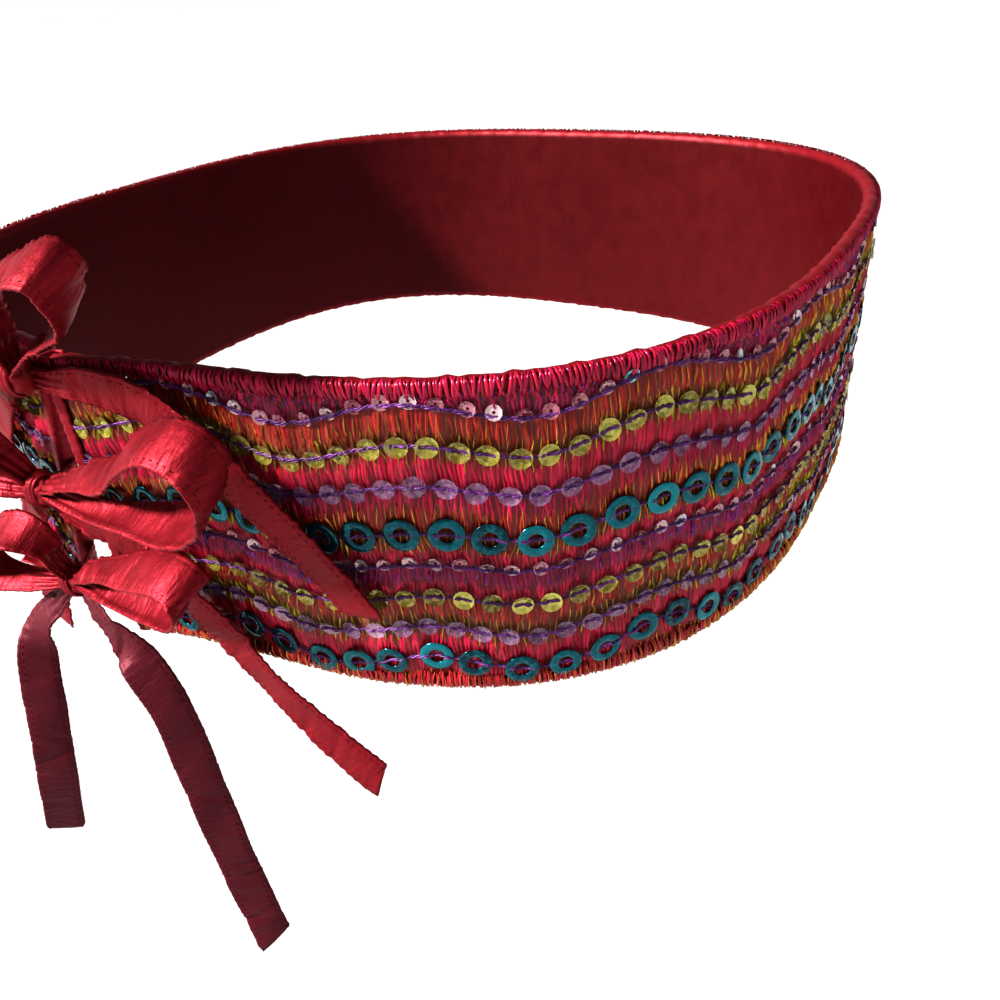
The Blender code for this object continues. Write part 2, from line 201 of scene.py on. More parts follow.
def troughs(along, band):
    total = 0.0 * along
    for place, deep, wide, lean, middle, reach in foldTroughs:
        off = (along - place - lean * (band - lastBand / 2)) / wide
        total = total - deep * np.exp(-(off**2)) * np.exp(-(((band - middle) / reach) ** 2))
    return total


def gathers(along, band):
    # Uneven upright gathers that change from one band to the next.
    total = 0.0 * along
    for k, length in enumerate(clothRelief["gatherLengths"]):
        phase = 7.3 * k + 2.1 * np.sin(1.7 * band + k) + 1.3 * np.sin(along / (17.0 + 5.0 * k))
        total = total + np.sin(2.0 * math.pi * along / length + phase)
    return total


def clothOut(along, band, form=clothRelief):
    z = heightOf(along, band)
    betweenRows = np.sin(math.pi * np.mod(band, 1.0))
    puff = beltForm["puff"] * betweenRows ** form["puffSharpness"]
    swell = form["swell"] * np.sin(2.0 * math.pi * along / form["swellLength"] + form["swellShift"] * band)
    gather = form["gather"] * (form["gatherAtRows"] + (1.0 - form["gatherAtRows"]) * betweenRows)
    relief = puff + swell + troughs(along, band) + gather * gathers(along, band)
    below = np.clip((lipEdge + form["lipClear"] - np.abs(z)) / form["lipFade"], 0.0, 1.0)
    fromEnd = np.minimum(along - sashStart(z), sashStop(z) - along)
    return relief * below * np.clip(fromEnd / form["endFade"], 0.0, 1.0) + form["underLip"] * (1.0 - below)


# ---- making meshes ----

def flatGrid(columns, rows):
    # A flat sheet of quads as columns by rows, its points from 0 to 1 both ways.
    grid = bmesh.new()
    bmesh.ops.create_grid(grid, x_segments=columns, y_segments=rows, size=0.5)
    bmesh.ops.translate(grid, vec=(0.5, 0.5, 0.0), verts=grid.verts)
    return meshOf(grid, "flat")


def meshOf(shape, name):
    mesh = bpy.data.meshes.new(name)
    shape.to_mesh(mesh)
    shape.free()
    return mesh


def meshPoints(mesh):
    points = np.empty(len(mesh.vertices) * 3)
    mesh.vertices.foreach_get("co", points)
    return points.reshape(-1, 3)


def placePoints(mesh, points):
    mesh.vertices.foreach_set("co", (points * mm).astype(np.float32).ravel())
    mesh.update()


def pointUv(mesh, u, v):
    # The cloth's own flat coordinates, in millimetres or band numbers, for its weave.
    layer = mesh.uv_layers.new(name="cloth")
    corners = np.empty(len(mesh.loops), dtype=np.int32)
    mesh.loops.foreach_get("vertex_index", corners)
    layer.data.foreach_set("uv", np.stack([u[corners], v[corners]], axis=-1).astype(np.float32).ravel())


def asPiece(name, mesh, material, smooth=True):
    mesh.name = name
    mesh.materials.clear()
    mesh.materials.append(material)
    mesh.polygons.foreach_set("use_smooth", [smooth] * len(mesh.polygons))
    obj = bpy.data.objects.new(name, mesh)
    bpy.context.scene.collection.objects.link(obj)
    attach(obj, "root")
    return obj


def repeated(name, template, copies, material, tone=None, smooth=True):
    # One joined mesh of many copies: copies holds the points of each, as copy by point by xyz.
    count, size = copies.shape[:2]
    faces = [tuple(face.vertices) for face in template.polygons]
    allFaces = []
    for width in sorted({len(face) for face in faces}):
        group = np.array([face for face in faces if len(face) == width])
        shifted = group[None, :, :] + size * np.arange(count)[:, None, None]
        allFaces += shifted.reshape(-1, width).tolist()
    mesh = bpy.data.meshes.new(name)
    mesh.from_pydata((copies.reshape(-1, 3) * mm).tolist(), [], allFaces)
    if tone is not None:
        layer = mesh.attributes.new("tone", "FLOAT", "POINT")
        layer.data.foreach_set("value", np.repeat(tone, size).astype(np.float32))
    return asPiece(name, mesh, material, smooth)


def thicken(obj, thickness, offset=0.0):
    wall = obj.modifiers.new("cloth", "SOLIDIFY")
    wall.thickness = thickness * mm
    wall.offset = offset


def readAlong(places, at, table):
    # Each column of the table at other places along it.
    return np.stack([np.interp(places, at, column) for column in table.T], axis=-1)


# ---- materials ----

def setInputs(tree, node, inputs):
    # Inputs go by name or number, and take a value or another node's output.
    for key, value in inputs.items():
        if isinstance(value, bpy.types.NodeSocket):
            tree.links.new(value, node.inputs[key])
        else:
            node.inputs[key].default_value = value


def addNode(tree, kind, inputs, **settings):
    node = tree.nodes.new(kind)
    for key, value in settings.items():
        setattr(node, key, value)
    setInputs(tree, node, inputs)
    return node


def newTree(name):
    material = bpy.data.materials.new(name)
    material.use_nodes = True
    return material, material.node_tree


def finished(material, inputs):
    setInputs(material.node_tree, material.node_tree.nodes["Principled BSDF"], inputs)
    return material


def objectPlace(tree):
    return addNode(tree, "ShaderNodeTexCoord", {}).outputs["Object"]


def clothPlace(tree):
    return addNode(tree, "ShaderNodeUVMap", {}, uv_map="cloth").outputs["UV"]


def pieceTone(tree):
    return addNode(tree, "ShaderNodeAttribute", {}, attribute_name="tone").outputs["Fac"]


def stretched(tree, place, scale):
    return addNode(tree, "ShaderNodeMapping", {"Vector": place, "Scale": scale}).outputs["Vector"]


def noise(tree, place, scale, detail=2.0):
    inputs = {"Vector": place, "Scale": scale, "Detail": detail}
    return addNode(tree, "ShaderNodeTexNoise", inputs).outputs["Fac"]


def sums(tree, operation, *values):
    return addNode(tree, "ShaderNodeMath", dict(enumerate(values)), operation=operation).outputs[0]


def spread(tree, value, start, end=(0.0, 1.0)):
    # Moves a value from its range at the start to the one at the end.
    inputs = {"Value": value, "From Min": start[0], "From Max": start[1], "To Min": end[0], "To Max": end[1]}
    return addNode(tree, "ShaderNodeMapRange", inputs).outputs["Result"]


def mixed(tree, share, first, second, blend="MIX"):
    inputs = {"Factor": share, "A": first, "B": second}
    return addNode(tree, "ShaderNodeMix", inputs, data_type="RGBA", blend_type=blend).outputs["Result"]


def bumped(tree, height, strength, distance, **under):
    inputs = {"Height": height, "Strength": strength, "Distance": distance, **under}
    return addNode(tree, "ShaderNodeBump", inputs).outputs["Normal"]


def colorRamp(tree, place, stops):
    ramp = addNode(tree, "ShaderNodeValToRGB", {"Fac": place})
    marks = ramp.color_ramp.elements
    while len(marks) > 1:
        marks.remove(marks[-1])
    marks[0].position = stops[0][0]
    marks[0].color = (*stops[0][1], 1.0)
    for position, color in stops[1:]:
        marks.new(position).color = (*color, 1.0)
    return ramp.outputs["Color"]


def nodeGroup(name, inputs, outputs):
    group = bpy.data.node_groups.new(name, "ShaderNodeTree")
    for label, value in inputs.items():
        socket = group.interface.new_socket(name=label, in_out="INPUT", socket_type="NodeSocketFloat")
        socket.default_value = value
    for label, kind in outputs.items():
        group.interface.new_socket(name=label, in_out="OUTPUT", socket_type="NodeSocket" + kind)
    return group, group.nodes.new("NodeGroupInput").outputs, group.nodes.new("NodeGroupOutput")


def weaveGroup():
    # Satin: fine floats along the cloth, a soft cloudiness and creases that run across it.
    group, given, out = nodeGroup(
        "satinWeave", {"Float width": 0.22, "Relief": 0.25, "Creases": 0.3},
        {"Shade": "Float", "Roughness": "Float", "Normal": "Vector"})
    cloth = clothPlace(group)
    width = given["Float width"]
    floatSize = {"X": sums(group, "MULTIPLY", width, 7.0), "Y": width, "Z": 1.0}
    size = addNode(group, "ShaderNodeCombineXYZ", floatSize).outputs["Vector"]
    scaled = addNode(group, "ShaderNodeVectorMath", {0: cloth, 1: size}, operation="DIVIDE").outputs["Vector"]
    floats = noise(group, scaled, 1.0)
    cloud = noise(group, objectPlace(group), 140.0, detail=3.0)
    creases = noise(group, stretched(group, cloth, (0.75, 0.22, 1.0)), 1.0, detail=3.0)
    creased = bumped(group, creases, given["Creases"], 0.0007)
    setInputs(group, out, {
        "Shade": spread(group, sums(group, "ADD", floats, cloud), (0.0, 2.0), (0.72, 1.18)),
        "Roughness": spread(group, cloud, (0.0, 1.0), (0.38, 0.60)),
        "Normal": bumped(group, floats, given["Relief"], 0.00012, Normal=creased),
    })
    return group


def strandGroup():
    # Embroidery floss: fine strands, with patches that are lighter and darker.
    group, given, out = nodeGroup(
        "flossStrands", {"Strand scale": 2600.0, "Relief": 0.3}, {"Tone": "Float", "Normal": "Vector"})
    place = objectPlace(group)
    strands = noise(group, stretched(group, place, (1.0, 1.0, 0.15)), given["Strand scale"])
    patches = sums(group, "MULTIPLY", noise(group, place, 260.0), 0.5)
    setInputs(group, out, {
        "Tone": sums(group, "MULTIPLY_ADD", strands, 0.6, patches),
        "Normal": bumped(group, strands, given["Relief"], 0.00015),
    })
    return group


satinWeave = weaveGroup()
flossStrands = strandGroup()

# How high above the belt's middle the rolled edges, which get painted light, begin and are whole, in metres.
litLipHeights = (0.037, 0.0395)


def satinMaterial(name, dark, light, metallic, relief=0.25, creases=0.4, lip=None):
    # lip is a lighter colour painted on the rolled edges as painted light, over the material's darker
    # colours.
    material, tree = newTree(name)
    inputs = {"Relief": relief, "Creases": creases}
    weave = addNode(tree, "ShaderNodeGroup", inputs, node_tree=satinWeave).outputs
    color = colorRamp(tree, weave["Shade"], ((0.7, dark), (1.0, light)))
    if lip:
        parts = addNode(tree, "ShaderNodeSeparateXYZ", {"Vector": objectPlace(tree)}).outputs
        edge = spread(tree, sums(tree, "ABSOLUTE", parts["Z"]), litLipHeights)
        color = mixed(tree, edge, color, (*lip, 1.0))
    return finished(material, {
        "Base Color": color, "Roughness": weave["Roughness"], "Normal": weave["Normal"],
        "Metallic": metallic, "Specular IOR Level": 0.25})


def flossMaterial(name, dark, light, metallic, roughness, eachTone=0.4, shine=0.5):
    # eachTone is how far single stitches differ, by the tone that each of them has.
    material, tree = newTree(name)
    strands = addNode(tree, "ShaderNodeGroup", {}, node_tree=flossStrands).outputs
    tone = sums(tree, "MULTIPLY_ADD", pieceTone(tree), eachTone, strands["Tone"])
    return finished(material, {
        "Base Color": colorRamp(tree, tone, ((0.42, dark), (0.72 + eachTone, light))),
        "Normal": strands["Normal"], "Metallic": metallic, "Roughness": roughness,
        "Specular IOR Level": shine})


def sequinMaterial(name, stops, filmAndGlint, metallic, roughness, alpha=1.0, coat=0.5):
    # Each sequin has its own tone; soft patches of a lighter colour stand for its iridescent film and are
    # also painted glints.
    material, tree = newTree(name)
    clouds = noise(tree, objectPlace(tree), 900.0)
    patch = spread(tree, clouds, (0.45, 0.75), (0.0, 0.7))
    return finished(material, {
        "Base Color": mixed(tree, patch, colorRamp(tree, pieceTone(tree), stops), (*filmAndGlint, 1.0)),
        "Normal": bumped(tree, clouds, 0.12, 0.0003), "Metallic": metallic, "Roughness": roughness,
        "Coat Weight": coat, "Coat Roughness": 0.06, "Alpha": alpha})


# The dye of the satin under the stitches, by band number.
groundBands = (
    (0.0, (0.136, 0.00372, 0.0124)),
    (0.8, (0.0868, 0.00248, 0.0186)),
    (1.1, (0.161, 0.0093, 0.0062)),
    (1.7, (0.15, 0.014, 0.004)),
    (2.0, (0.13, 0.014, 0.004)),
    (2.4, (0.236, 0.00248, 0.0186)),
    (3.0, (0.124, 0.00248, 0.0124)),
    (3.6, (0.161, 0.0093, 0.0062)),
    (4.1, (0.13, 0.014, 0.004)),
    (4.5, (0.149, 0.0062, 0.0062)),
    (5.2, (0.161, 0.00248, 0.0279)),
    (5.9, (0.149, 0.00496, 0.0093)),
    (6.3, (0.149, 0.0124, 0.00372)),
    (6.9, (0.12, 0.014, 0.004)),
    (7.4, (0.211, 0.00372, 0.0124)),
    (8.4, (0.174, 0.00496, 0.0093)),
    (9.0, (0.186, 0.0124, 0.0062)),
)


def groundMaterial():
    # Each band is dyed like the thread that covers it, with darker and lighter streaks.
    material, tree = newTree("EmbroideredGround")
    cloth = clothPlace(tree)
    parts = addNode(tree, "ShaderNodeSeparateXYZ", {"Vector": cloth}).outputs
    place = sums(tree, "DIVIDE", parts["Y"], float(lastBand))
    dye = colorRamp(tree, place, [(band / lastBand, color) for band, color in groundBands])
    streaks = noise(tree, stretched(tree, cloth, (1.3, 0.5, 1.0)), 1.0, detail=4.0)
    shade = spread(tree, streaks, (0.3, 0.7), (0.6, 1.6))
    return finished(material, {
        "Base Color": mixed(tree, 1.0, dye, shade, blend="MULTIPLY"),
        "Normal": bumped(tree, streaks, 0.5, 0.0004), "Roughness": 0.45, "Sheen Weight": 0.2})


tieSatin = satinMaterial(
    "TieSatin", (0.095, 0.004, 0.008), (0.27, 0.017, 0.029), 0.62, relief=0.4, creases=0.6)
# The two lowest free ends use a duller satin whose darker colours are painted shade.
dullShadedSatin = satinMaterial("DullShadedSatin", (0.055, 0.005, 0.010), (0.12, 0.014, 0.025), 0.3)
knotSatin = satinMaterial("KnotSatin", (0.10, 0.005, 0.009), (0.27, 0.017, 0.029), 0.5, relief=0.3)
# The lining's dark colours are painted shade inside the belt, and its rolled edges get a lighter lip colour
# as painted light.
shadedLiningSatin = satinMaterial(
    "ShadedLiningSatinFine", (0.05, 0.002, 0.004), (0.10, 0.005, 0.008), 0.35, creases=0.15,
    lip=(0.24, 0.012, 0.020))
bindingSatin = satinMaterial("BindingSatin", (0.14, 0.006, 0.012), (0.31, 0.020, 0.036), 0.5)
groundSatin = groundMaterial()
seamThread = flossMaterial(
    "SeamThread", (0.07, 0.003, 0.006), (0.17, 0.008, 0.014), 0.0, 0.7, eachTone=0.0, shine=0.1)

flosses = {
    "crimson": flossMaterial("CrimsonFloss", (0.20, 0.003, 0.016), (0.66, 0.018, 0.080), 0.2, 0.34),
    "raspberry": flossMaterial("RaspberryFloss", (0.11, 0.003, 0.025), (0.46, 0.013, 0.105), 0.2, 0.34),
    "rust": flossMaterial("RustFloss", (0.18, 0.008, 0.007), (0.54, 0.038, 0.030), 0.2, 0.34),
    "purple": flossMaterial("PurpleFoil", (0.08, 0.01, 0.16), (0.40, 0.12, 0.52), 0.5, 0.25),
    "gold": flossMaterial("GoldFoil", (0.26, 0.09, 0.014), (0.80, 0.44, 0.10), 0.7, 0.25),
    "lime": flossMaterial("LimeFoil", (0.14, 0.10, 0.008), (0.60, 0.52, 0.05), 0.6, 0.28),
}
couching = flossMaterial("PurpleCouching", (0.045, 0.012, 0.075), (0.26, 0.075, 0.32), 0.2, 0.4, eachTone=0.0)
print("materials made")


# ---- the embroidered face of the sash ----

faceForm = {"columns": 580, "rows": 60, "thickness": 0.5}


def embroideredFace(form):
    mesh = flatGrid(form["columns"], form["rows"])
    flat = meshPoints(mesh)
    z = panelTop * (1.0 - 2.0 * flat[:, 1])
    along = sashStart(z) + flat[:, 0] * (sashStop(z) - sashStart(z))
    band = bandOf(along, z)
    placePoints(mesh, wallPoint(along, z, clothOut(along, band)))
    mesh.flip_normals()
    pointUv(mesh, along, band)
    obj = asPiece("sashFace", mesh, groundSatin)
    thicken(obj, form["thickness"], offset=-1.0)
    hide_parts("sash_panel")
    return obj


sashFace = embroideredFace(faceForm)
print("embroidered face made")


# ---- stitches ----

# Floss, from and to as band numbers, then pitch, width, rise, lean and jitter in millimetres.
stitchRows = (
    ("crimson", 0.05, 0.55, 1.15, 0.95, 0.40, 0.5, 0.30),
    ("raspberry", 0.42, 0.97, 1.05, 0.85, 0.38, 0.6, 0.30),
    ("purple", 0.30, 0.52, 2.10, 0.28, 0.55, 0.9, 0.30),
    ("rust", 1.05, 1.80, 0.95, 0.85, 0.30, 0.3, 0.22),
    ("gold", 1.15, 1.70, 1.90, 0.20, 0.50, 0.3, 0.30),
    ("lime", 1.58, 2.00, 1.55, 0.30, 0.45, 0.5, 0.30),
    ("lime", 2.00, 2.46, 1.65, 0.30, 0.45, 0.6, 0.30),
    ("crimson", 2.22, 2.98, 0.95, 1.00, 0.45, 0.4, 0.22),
    ("raspberry", 3.02, 3.40, 1.05, 0.80, 0.35, 0.4, 0.22),
    ("crimson", 3.10, 3.55, 1.25, 0.85, 0.42, 0.6, 0.30),
    ("rust", 3.42, 4.00, 1.00, 0.80, 0.32, 0.4, 0.22),
    ("gold", 3.42, 3.90, 1.50, 0.26, 0.55, 0.5, 0.30),
    ("lime", 3.95, 4.60, 1.35, 0.28, 0.50, 1.1, 0.30),
    ("rust", 4.05, 4.50, 1.20, 0.55, 0.25, 0.4, 0.20),
    ("crimson", 4.42, 5.00, 0.95, 0.98, 0.40, 0.4, 0.22),
    ("raspberry", 5.02, 5.60, 1.02, 0.88, 0.42, 0.5, 0.22),
    ("purple", 5.18, 5.48, 1.95, 0.26, 0.60, 0.9, 0.30),
    ("crimson", 5.50, 6.00, 0.98, 0.95, 0.38, 0.4, 0.22),
    ("rust", 6.05, 6.72, 0.95, 0.82, 0.30, 0.4, 0.22),
    ("gold", 6.10, 6.55, 1.90, 0.22, 0.48, 0.4, 0.30),
    ("lime", 6.55, 7.00, 1.50, 0.30, 0.45, 0.6, 0.30),
    ("lime", 7.00, 7.40, 1.70, 0.30, 0.45, 0.5, 0.30),
    ("crimson", 7.22, 8.00, 0.95, 1.00, 0.42, 0.4, 0.22),
    ("crimson", 8.05, 8.60, 1.00, 0.92, 0.36, 0.4, 0.22),
    ("rust", 8.50, 8.98, 1.05, 0.62, 0.35, 0.3, 0.20),
    ("gold", 8.55, 8.95, 1.60, 0.24, 0.55, 0.5, 0.30),
)

# The spreads are shares of a row's own lean, rise and width, and band numbers for the two tips.
stitchForm = {
    "columns": 4,
    "rows": 2,
    "fromEnds": 1.5,
    "levelAt": 400.0,
    "leanDrift": 0.9,
    "leanStray": 0.8,
    "topStray": 0.08,
    "bottomStray": 0.10,
    "riseSpread": (0.55, 1.4),
    "riseSwell": 0.3,
    "widthSpread": (0.75, 1.3),
    "taper": 0.4,
    "curl": 0.3,
    "tuck": 0.12,
    "clear": 0.02,
    "roundness": 0.45,
}
stitchTones = (1.5, 1.8)


def stitchShape(template, form):
    # For each point: how far down the stitch it is, its side, and its shares of the width and rise.
    down, side = template[:, 0], 2.0 * template[:, 1] - 1.0
    taper = 1.0 - form["taper"] + form["taper"] * np.sin(math.pi * down) ** 0.5
    inner = np.clip(down, form["clear"], 1.0 - form["clear"])
    arch = np.sin(math.pi * inner) ** form["roundness"] * (1.0 - side**2)
    return down, side, taper, arch


def stitchCopies(template, rowNumber, row, form):
    floss, top, bottom, pitch, width, rise, lean, jitter = row
    middle = heightOf(np.array([form["levelAt"]]), np.array([(top + bottom) / 2]))[0]
    at = np.arange(sashStart(middle) + form["fromEnds"], sashStop(middle) - form["fromEnds"], pitch)
    count = len(at)
    at = at + dice.uniform(-jitter, jitter, count)
    drift = np.sin(at / 9.0 + rowNumber) * np.sin(at / 31.0 + 2.0 * rowNumber)
    stray = dice.uniform(-form["leanStray"], form["leanStray"], count)
    leans = lean * (form["leanDrift"] * drift + stray)
    tops = top + dice.uniform(-form["topStray"], form["topStray"], count)
    bottoms = bottom + dice.uniform(-form["bottomStray"], form["bottomStray"], count)
    swell = 1.0 + form["riseSwell"] * np.sin(at / 2.3 + rowNumber)
    rises = rise * dice.uniform(*form["riseSpread"], count) * swell
    widths = width * dice.uniform(*form["widthSpread"], count)
    curls = dice.uniform(-form["curl"], form["curl"], count)
    down, side, taper, arch = stitchShape(template, form)
    along = at[:, None] + leans[:, None] * (down - 0.5) + side * taper * widths[:, None] / 2
    along = along + curls[:, None] * np.sin(2.0 * math.pi * down)
    band = tops[:, None] + (bottoms - tops)[:, None] * down
    out = clothOut(along, band) + rises[:, None] * arch - form["tuck"] * np.abs(side)
    return wallPoint(along, heightOf(along, band), out)


# Floss, edge, pitch, width, rise and lean of the stitches that go over the rolled edges.
edgeRows = (
    ("crimson", 1, 1.05, 0.70, 0.14, 1.8),
    ("raspberry", 1, 1.70, 0.62, 0.22, 2.2),
    ("crimson", -1, 1.20, 0.75, 0.14, 1.4),
    ("rust", -1, 1.40, 0.62, 0.22, 1.6),
    ("gold", -1, 1.90, 0.26, 0.50, 1.0),
)
# The rolled edge from its top to the panel's face, as out and height.
edgeLine = np.array([
    (-1.4, 40.0), (-0.2, 40.12), (0.7, 40.0), (1.2, 39.6), (1.42, 38.6),
    (1.42, 37.3), (1.15, 36.4), (0.5, 35.6), (0.3, 34.6), (0.3, 32.0)])

# start and stop are places along the rolled edge's line.
edgeForm = {
    "columns": 6,
    "rows": 2,
    "fromEnds": 1.0,
    "stray": 0.25,
    "start": 1.7,
    "startDrift": 0.7,
    "startStray": (-0.35, 0.6),
    "stop": 7.0,
    "stopDrift": 1.0,
    "stopStray": (-0.8, 0.8),
    "riseSpread": (0.6, 1.3),
    "taper": 0.5,
    "tuck": 0.12,
    "clear": 0.05,
    "roundness": 0.4,
    "slopeStep": 0.2,
}


def edgeCopies(template, row, form):
    floss, edge, pitch, width, rise, lean = row
    steps = lengthAlong(edgeLine)
    lip = edge * beltForm["height"] / 2
    at = np.arange(sashStart(lip) + form["fromEnds"], sashStop(lip) - form["fromEnds"], pitch)
    count = len(at)
    at = at + dice.uniform(-form["stray"], form["stray"], count) * pitch
    leans = lean * dice.uniform(-1.0, 1.0, count)
    drift = form["startDrift"] * np.sin(at / 41.0 + 2.0)
    starts = form["start"] + drift + dice.uniform(*form["startStray"], count)
    drift = form["stopDrift"] * np.sin(at / 3.7) * np.sin(at / 8.3)
    stops = form["stop"] + drift + dice.uniform(*form["stopStray"], count)
    down, side, taper, arch = stitchShape(template, form)
    place = starts[:, None] + (stops - starts)[:, None] * down
    out, z = np.moveaxis(readAlong(place, steps, edgeLine), -1, 0)
    step = form["slopeStep"]
    slope = readAlong(place + step, steps, edgeLine) - readAlong(place - step, steps, edgeLine)
    slope /= np.linalg.norm(slope, axis=-1)[..., None]
    along = at[:, None] + leans[:, None] * (down - 0.5) + side * taper * width / 2
    rises = rise * dice.uniform(*form["riseSpread"], count)[:, None] * arch - form["tuck"] * np.abs(side)
    return wallPoint(along, edge * (z + slope[..., 0] * rises), out - slope[..., 1] * rises)


def stitchPiece(name, template, copies, material):
    copies = np.concatenate(copies)
    tone = dice.beta(*stitchTones, len(copies))
    return repeated(name, template, copies, material, tone)


def embroidery():
    template = flatGrid(stitchForm["columns"], stitchForm["rows"])
    edgeTemplate = flatGrid(edgeForm["columns"], edgeForm["rows"])
    flat, edgeFlat = meshPoints(template), meshPoints(edgeTemplate)
    pieces = []
    for floss, material in flosses.items():
        rows = [(k, row) for k, row in enumerate(stitchRows) if row[0] == floss]
        copies = [stitchCopies(flat, k, row, stitchForm) for k, row in rows]
        pieces.append(stitchPiece(floss + "Stitches", template, copies, material))
        copies = [edgeCopies(edgeFlat, row, edgeForm) for row in edgeRows if row[0] == floss]
        if copies:
            pieces.append(stitchPiece(floss + "EdgeStitches", edgeTemplate, copies, material))
    return pieces


stitches = embroidery()
print("stitches made:", sum(len(o.data.polygons) for o in stitches), "faces")


# ---- sequins and their couched threads ----

# Kind, band, pitch, first place past the left end, and how far the middle stands out.
sequinRows = (
    ("pearl", 1, 5.40, 3.0, 0.95),
    ("olive", 2, 5.95, 3.5, 1.05),
    ("lavender", 3, 6.25, 2.5, 1.00),
    ("ring", 4, 9.35, 5.0, 1.40),
    ("pearl", 5, 5.55, 3.2, 0.95),
    ("olive", 6, 6.30, 4.0, 1.05),
    ("lavender", 7, 6.20, 3.0, 1.00),
    ("ring", 8, 9.90, 5.5, 1.40),
)

# Profiles as radius and height, from the hole out, spun round. Tilt is in degrees.
sequinKinds = {
    "pearl": {
        "profile": ((0.35, 0.0), (0.95, 0.05), (1.70, 0.45)),
        "sides": 10, "tilt": 15.0, "above": 0.7,
    },
    "olive": {
        "profile": ((0.45, 0.0), (1.35, 0.05), (2.45, 0.60)),
        "sides": 12, "tilt": 10.0, "above": 0.0,
    },
    "lavender": {
        "profile": ((0.45, 0.0), (1.35, 0.05), (2.45, 0.45)),
        "sides": 12, "tilt": 9.0, "above": 0.0,
    },
    "ring": {
        "profile": ((1.85, 0.0), (1.95, 0.16), (2.9, 0.20), (3.9, 0.16), (4.0, 0.0)),
        "sides": 24, "tilt": 3.0, "above": 0.0,
    },
}

# The last colour of each is the film's, whose soft patches are also painted glints.
sequinFoils = {
    "pearl": sequinMaterial(
        "PearlSequin",
        ((0.0, (0.30, 0.06, 0.10)), (0.45, (0.50, 0.24, 0.30)), (0.7, (0.85, 0.72, 0.76)),
         (1.0, (0.20, 0.75, 0.80))),
        (0.75, 0.42, 0.36), 0.45, 0.12, alpha=0.8),
    "olive": sequinMaterial(
        "OliveSequin",
        ((0.0, (0.10, 0.08, 0.01)), (0.5, (0.30, 0.28, 0.035)), (1.0, (0.90, 0.87, 0.22))),
        (0.74, 0.70, 0.24), 0.45, 0.14, alpha=0.75),
    "lavender": sequinMaterial(
        "LavenderSequin",
        ((0.0, (0.12, 0.06, 0.16)), (0.6, (0.28, 0.16, 0.31)), (1.0, (0.64, 0.46, 0.62))),
        (0.60, 0.45, 0.56), 0.35, 0.16, alpha=0.58),
    "ring": sequinMaterial(
        "TealRing",
        ((0.0, (0.0, 0.030, 0.045)), (0.6, (0.001, 0.105, 0.135)), (1.0, (0.012, 0.30, 0.34))),
        (0.004, 0.22, 0.27), 0.6, 0.20, coat=0.15),
}

# Steadiness is how many times a sequin's usual lean goes into its kind's tilt.
sequinForm = {
    "stray": 0.06,
    "heightStray": 0.25,
    "steadiness": 1.6,
    "sizes": (0.97, 1.03),
    "tones": (1.6, 2.4),
}
# How much of the cloth's relief sequins and couched threads follow.
followed = 0.6


def spunSequin(kind):
    sequin = bmesh.new()
    line = [sequin.verts.new((radius, 0.0, height)) for radius, height in kind["profile"]]
    edges = [sequin.edges.new(pair) for pair in zip(line, line[1:])]
    bmesh.ops.spin(
        sequin, geom=line + edges, cent=(0, 0, 0), axis=(0, 0, 1),
        angle=2.0 * math.pi, steps=kind["sides"], use_merge=True)
    bmesh.ops.remove_doubles(sequin, verts=sequin.verts, dist=0.001)
    bmesh.ops.recalc_face_normals(sequin, faces=sequin.faces)
    return meshOf(sequin, "sequin")


def sequinPlaces(row, form):
    kind, band, pitch, first, out = row
    height = rowLines[band - 1][0]
    at = np.arange(sashStart(height) + first, sashStop(height) - first, pitch)
    return at + dice.uniform(-form["stray"], form["stray"], len(at)) * pitch


def sequinCopies(template, row, at, form):
    kind, band, pitch, first, out = row
    count = len(at)
    bands = np.full(count, float(band))
    stray = dice.uniform(-form["heightStray"], form["heightStray"], count)
    z = heightOf(at, bands) + sequinKinds[kind]["above"] + stray
    middle = wallPoint(at, z, clothOut(at, bands) * followed + out)
    _, _, nx, ny = wallNormal(at)
    zero = np.zeros(count)
    outward = np.stack([nx, ny, zero], axis=-1)
    right = np.stack([-ny, nx, zero], axis=-1)
    upward = np.stack([zero, zero, zero + 1.0], axis=-1)
    tilt = math.radians(sequinKinds[kind]["tilt"])
    lean = dice.normal(0.0, tilt / form["steadiness"], (count, 2))
    outward = outward + right * lean[:, :1] + upward * lean[:, 1:]
    outward /= np.linalg.norm(outward, axis=1)[:, None]
    right = right - outward * (right * outward).sum(axis=1)[:, None]
    right /= np.linalg.norm(right, axis=1)[:, None]
    upward = np.cross(outward, right)
    turn = dice.uniform(0.0, 2.0 * math.pi, count)
    cos, sin = np.cos(turn)[:, None], np.sin(turn)[:, None]
    ways = np.stack([right * cos + upward * sin, upward * cos - right * sin, outward], axis=1)
    local = template[None, :, :] * dice.uniform(*form["sizes"], count)[:, None, None]
    return middle[:, None, :] + local @ ways


def sewnSequins(form):
    pieces, places = [], {}
    for name, kind in sequinKinds.items():
        template = spunSequin(kind)
        points = meshPoints(template)
        copies = []
        for row in sequinRows:
            if row[0] == name:
                places[row[1]] = sequinPlaces(row, form)
                copies.append(sequinCopies(points, row, places[row[1]], form))
        copies = np.concatenate(copies)
        tone = dice.beta(*form["tones"], len(copies))
        pieces.append(repeated(
            name + "Sequins", template, copies, sequinFoils[name], tone, smooth=name == "ring"))
    return pieces, places


sequins, sequinAt = sewnSequins(sequinForm)
print("sequins made:", sum(len(places) for places in sequinAt.values()))

# between and overSequin are how far the thread stands out there, reach is a share of a sequin's rim.
couchForm = {
    "step": 0.95,
    "thick": 0.2,
    "strands": 3,
    "fromEnds": 0.8,
    "between": 0.75,
    "overSequin": 1.45,
    "reach": 0.62,
    "overRing": 0.15,
    "twistEvery": 5.3,
    "wander": 0.30,
    "stray": 0.06,
    "lift": 0.12,
}


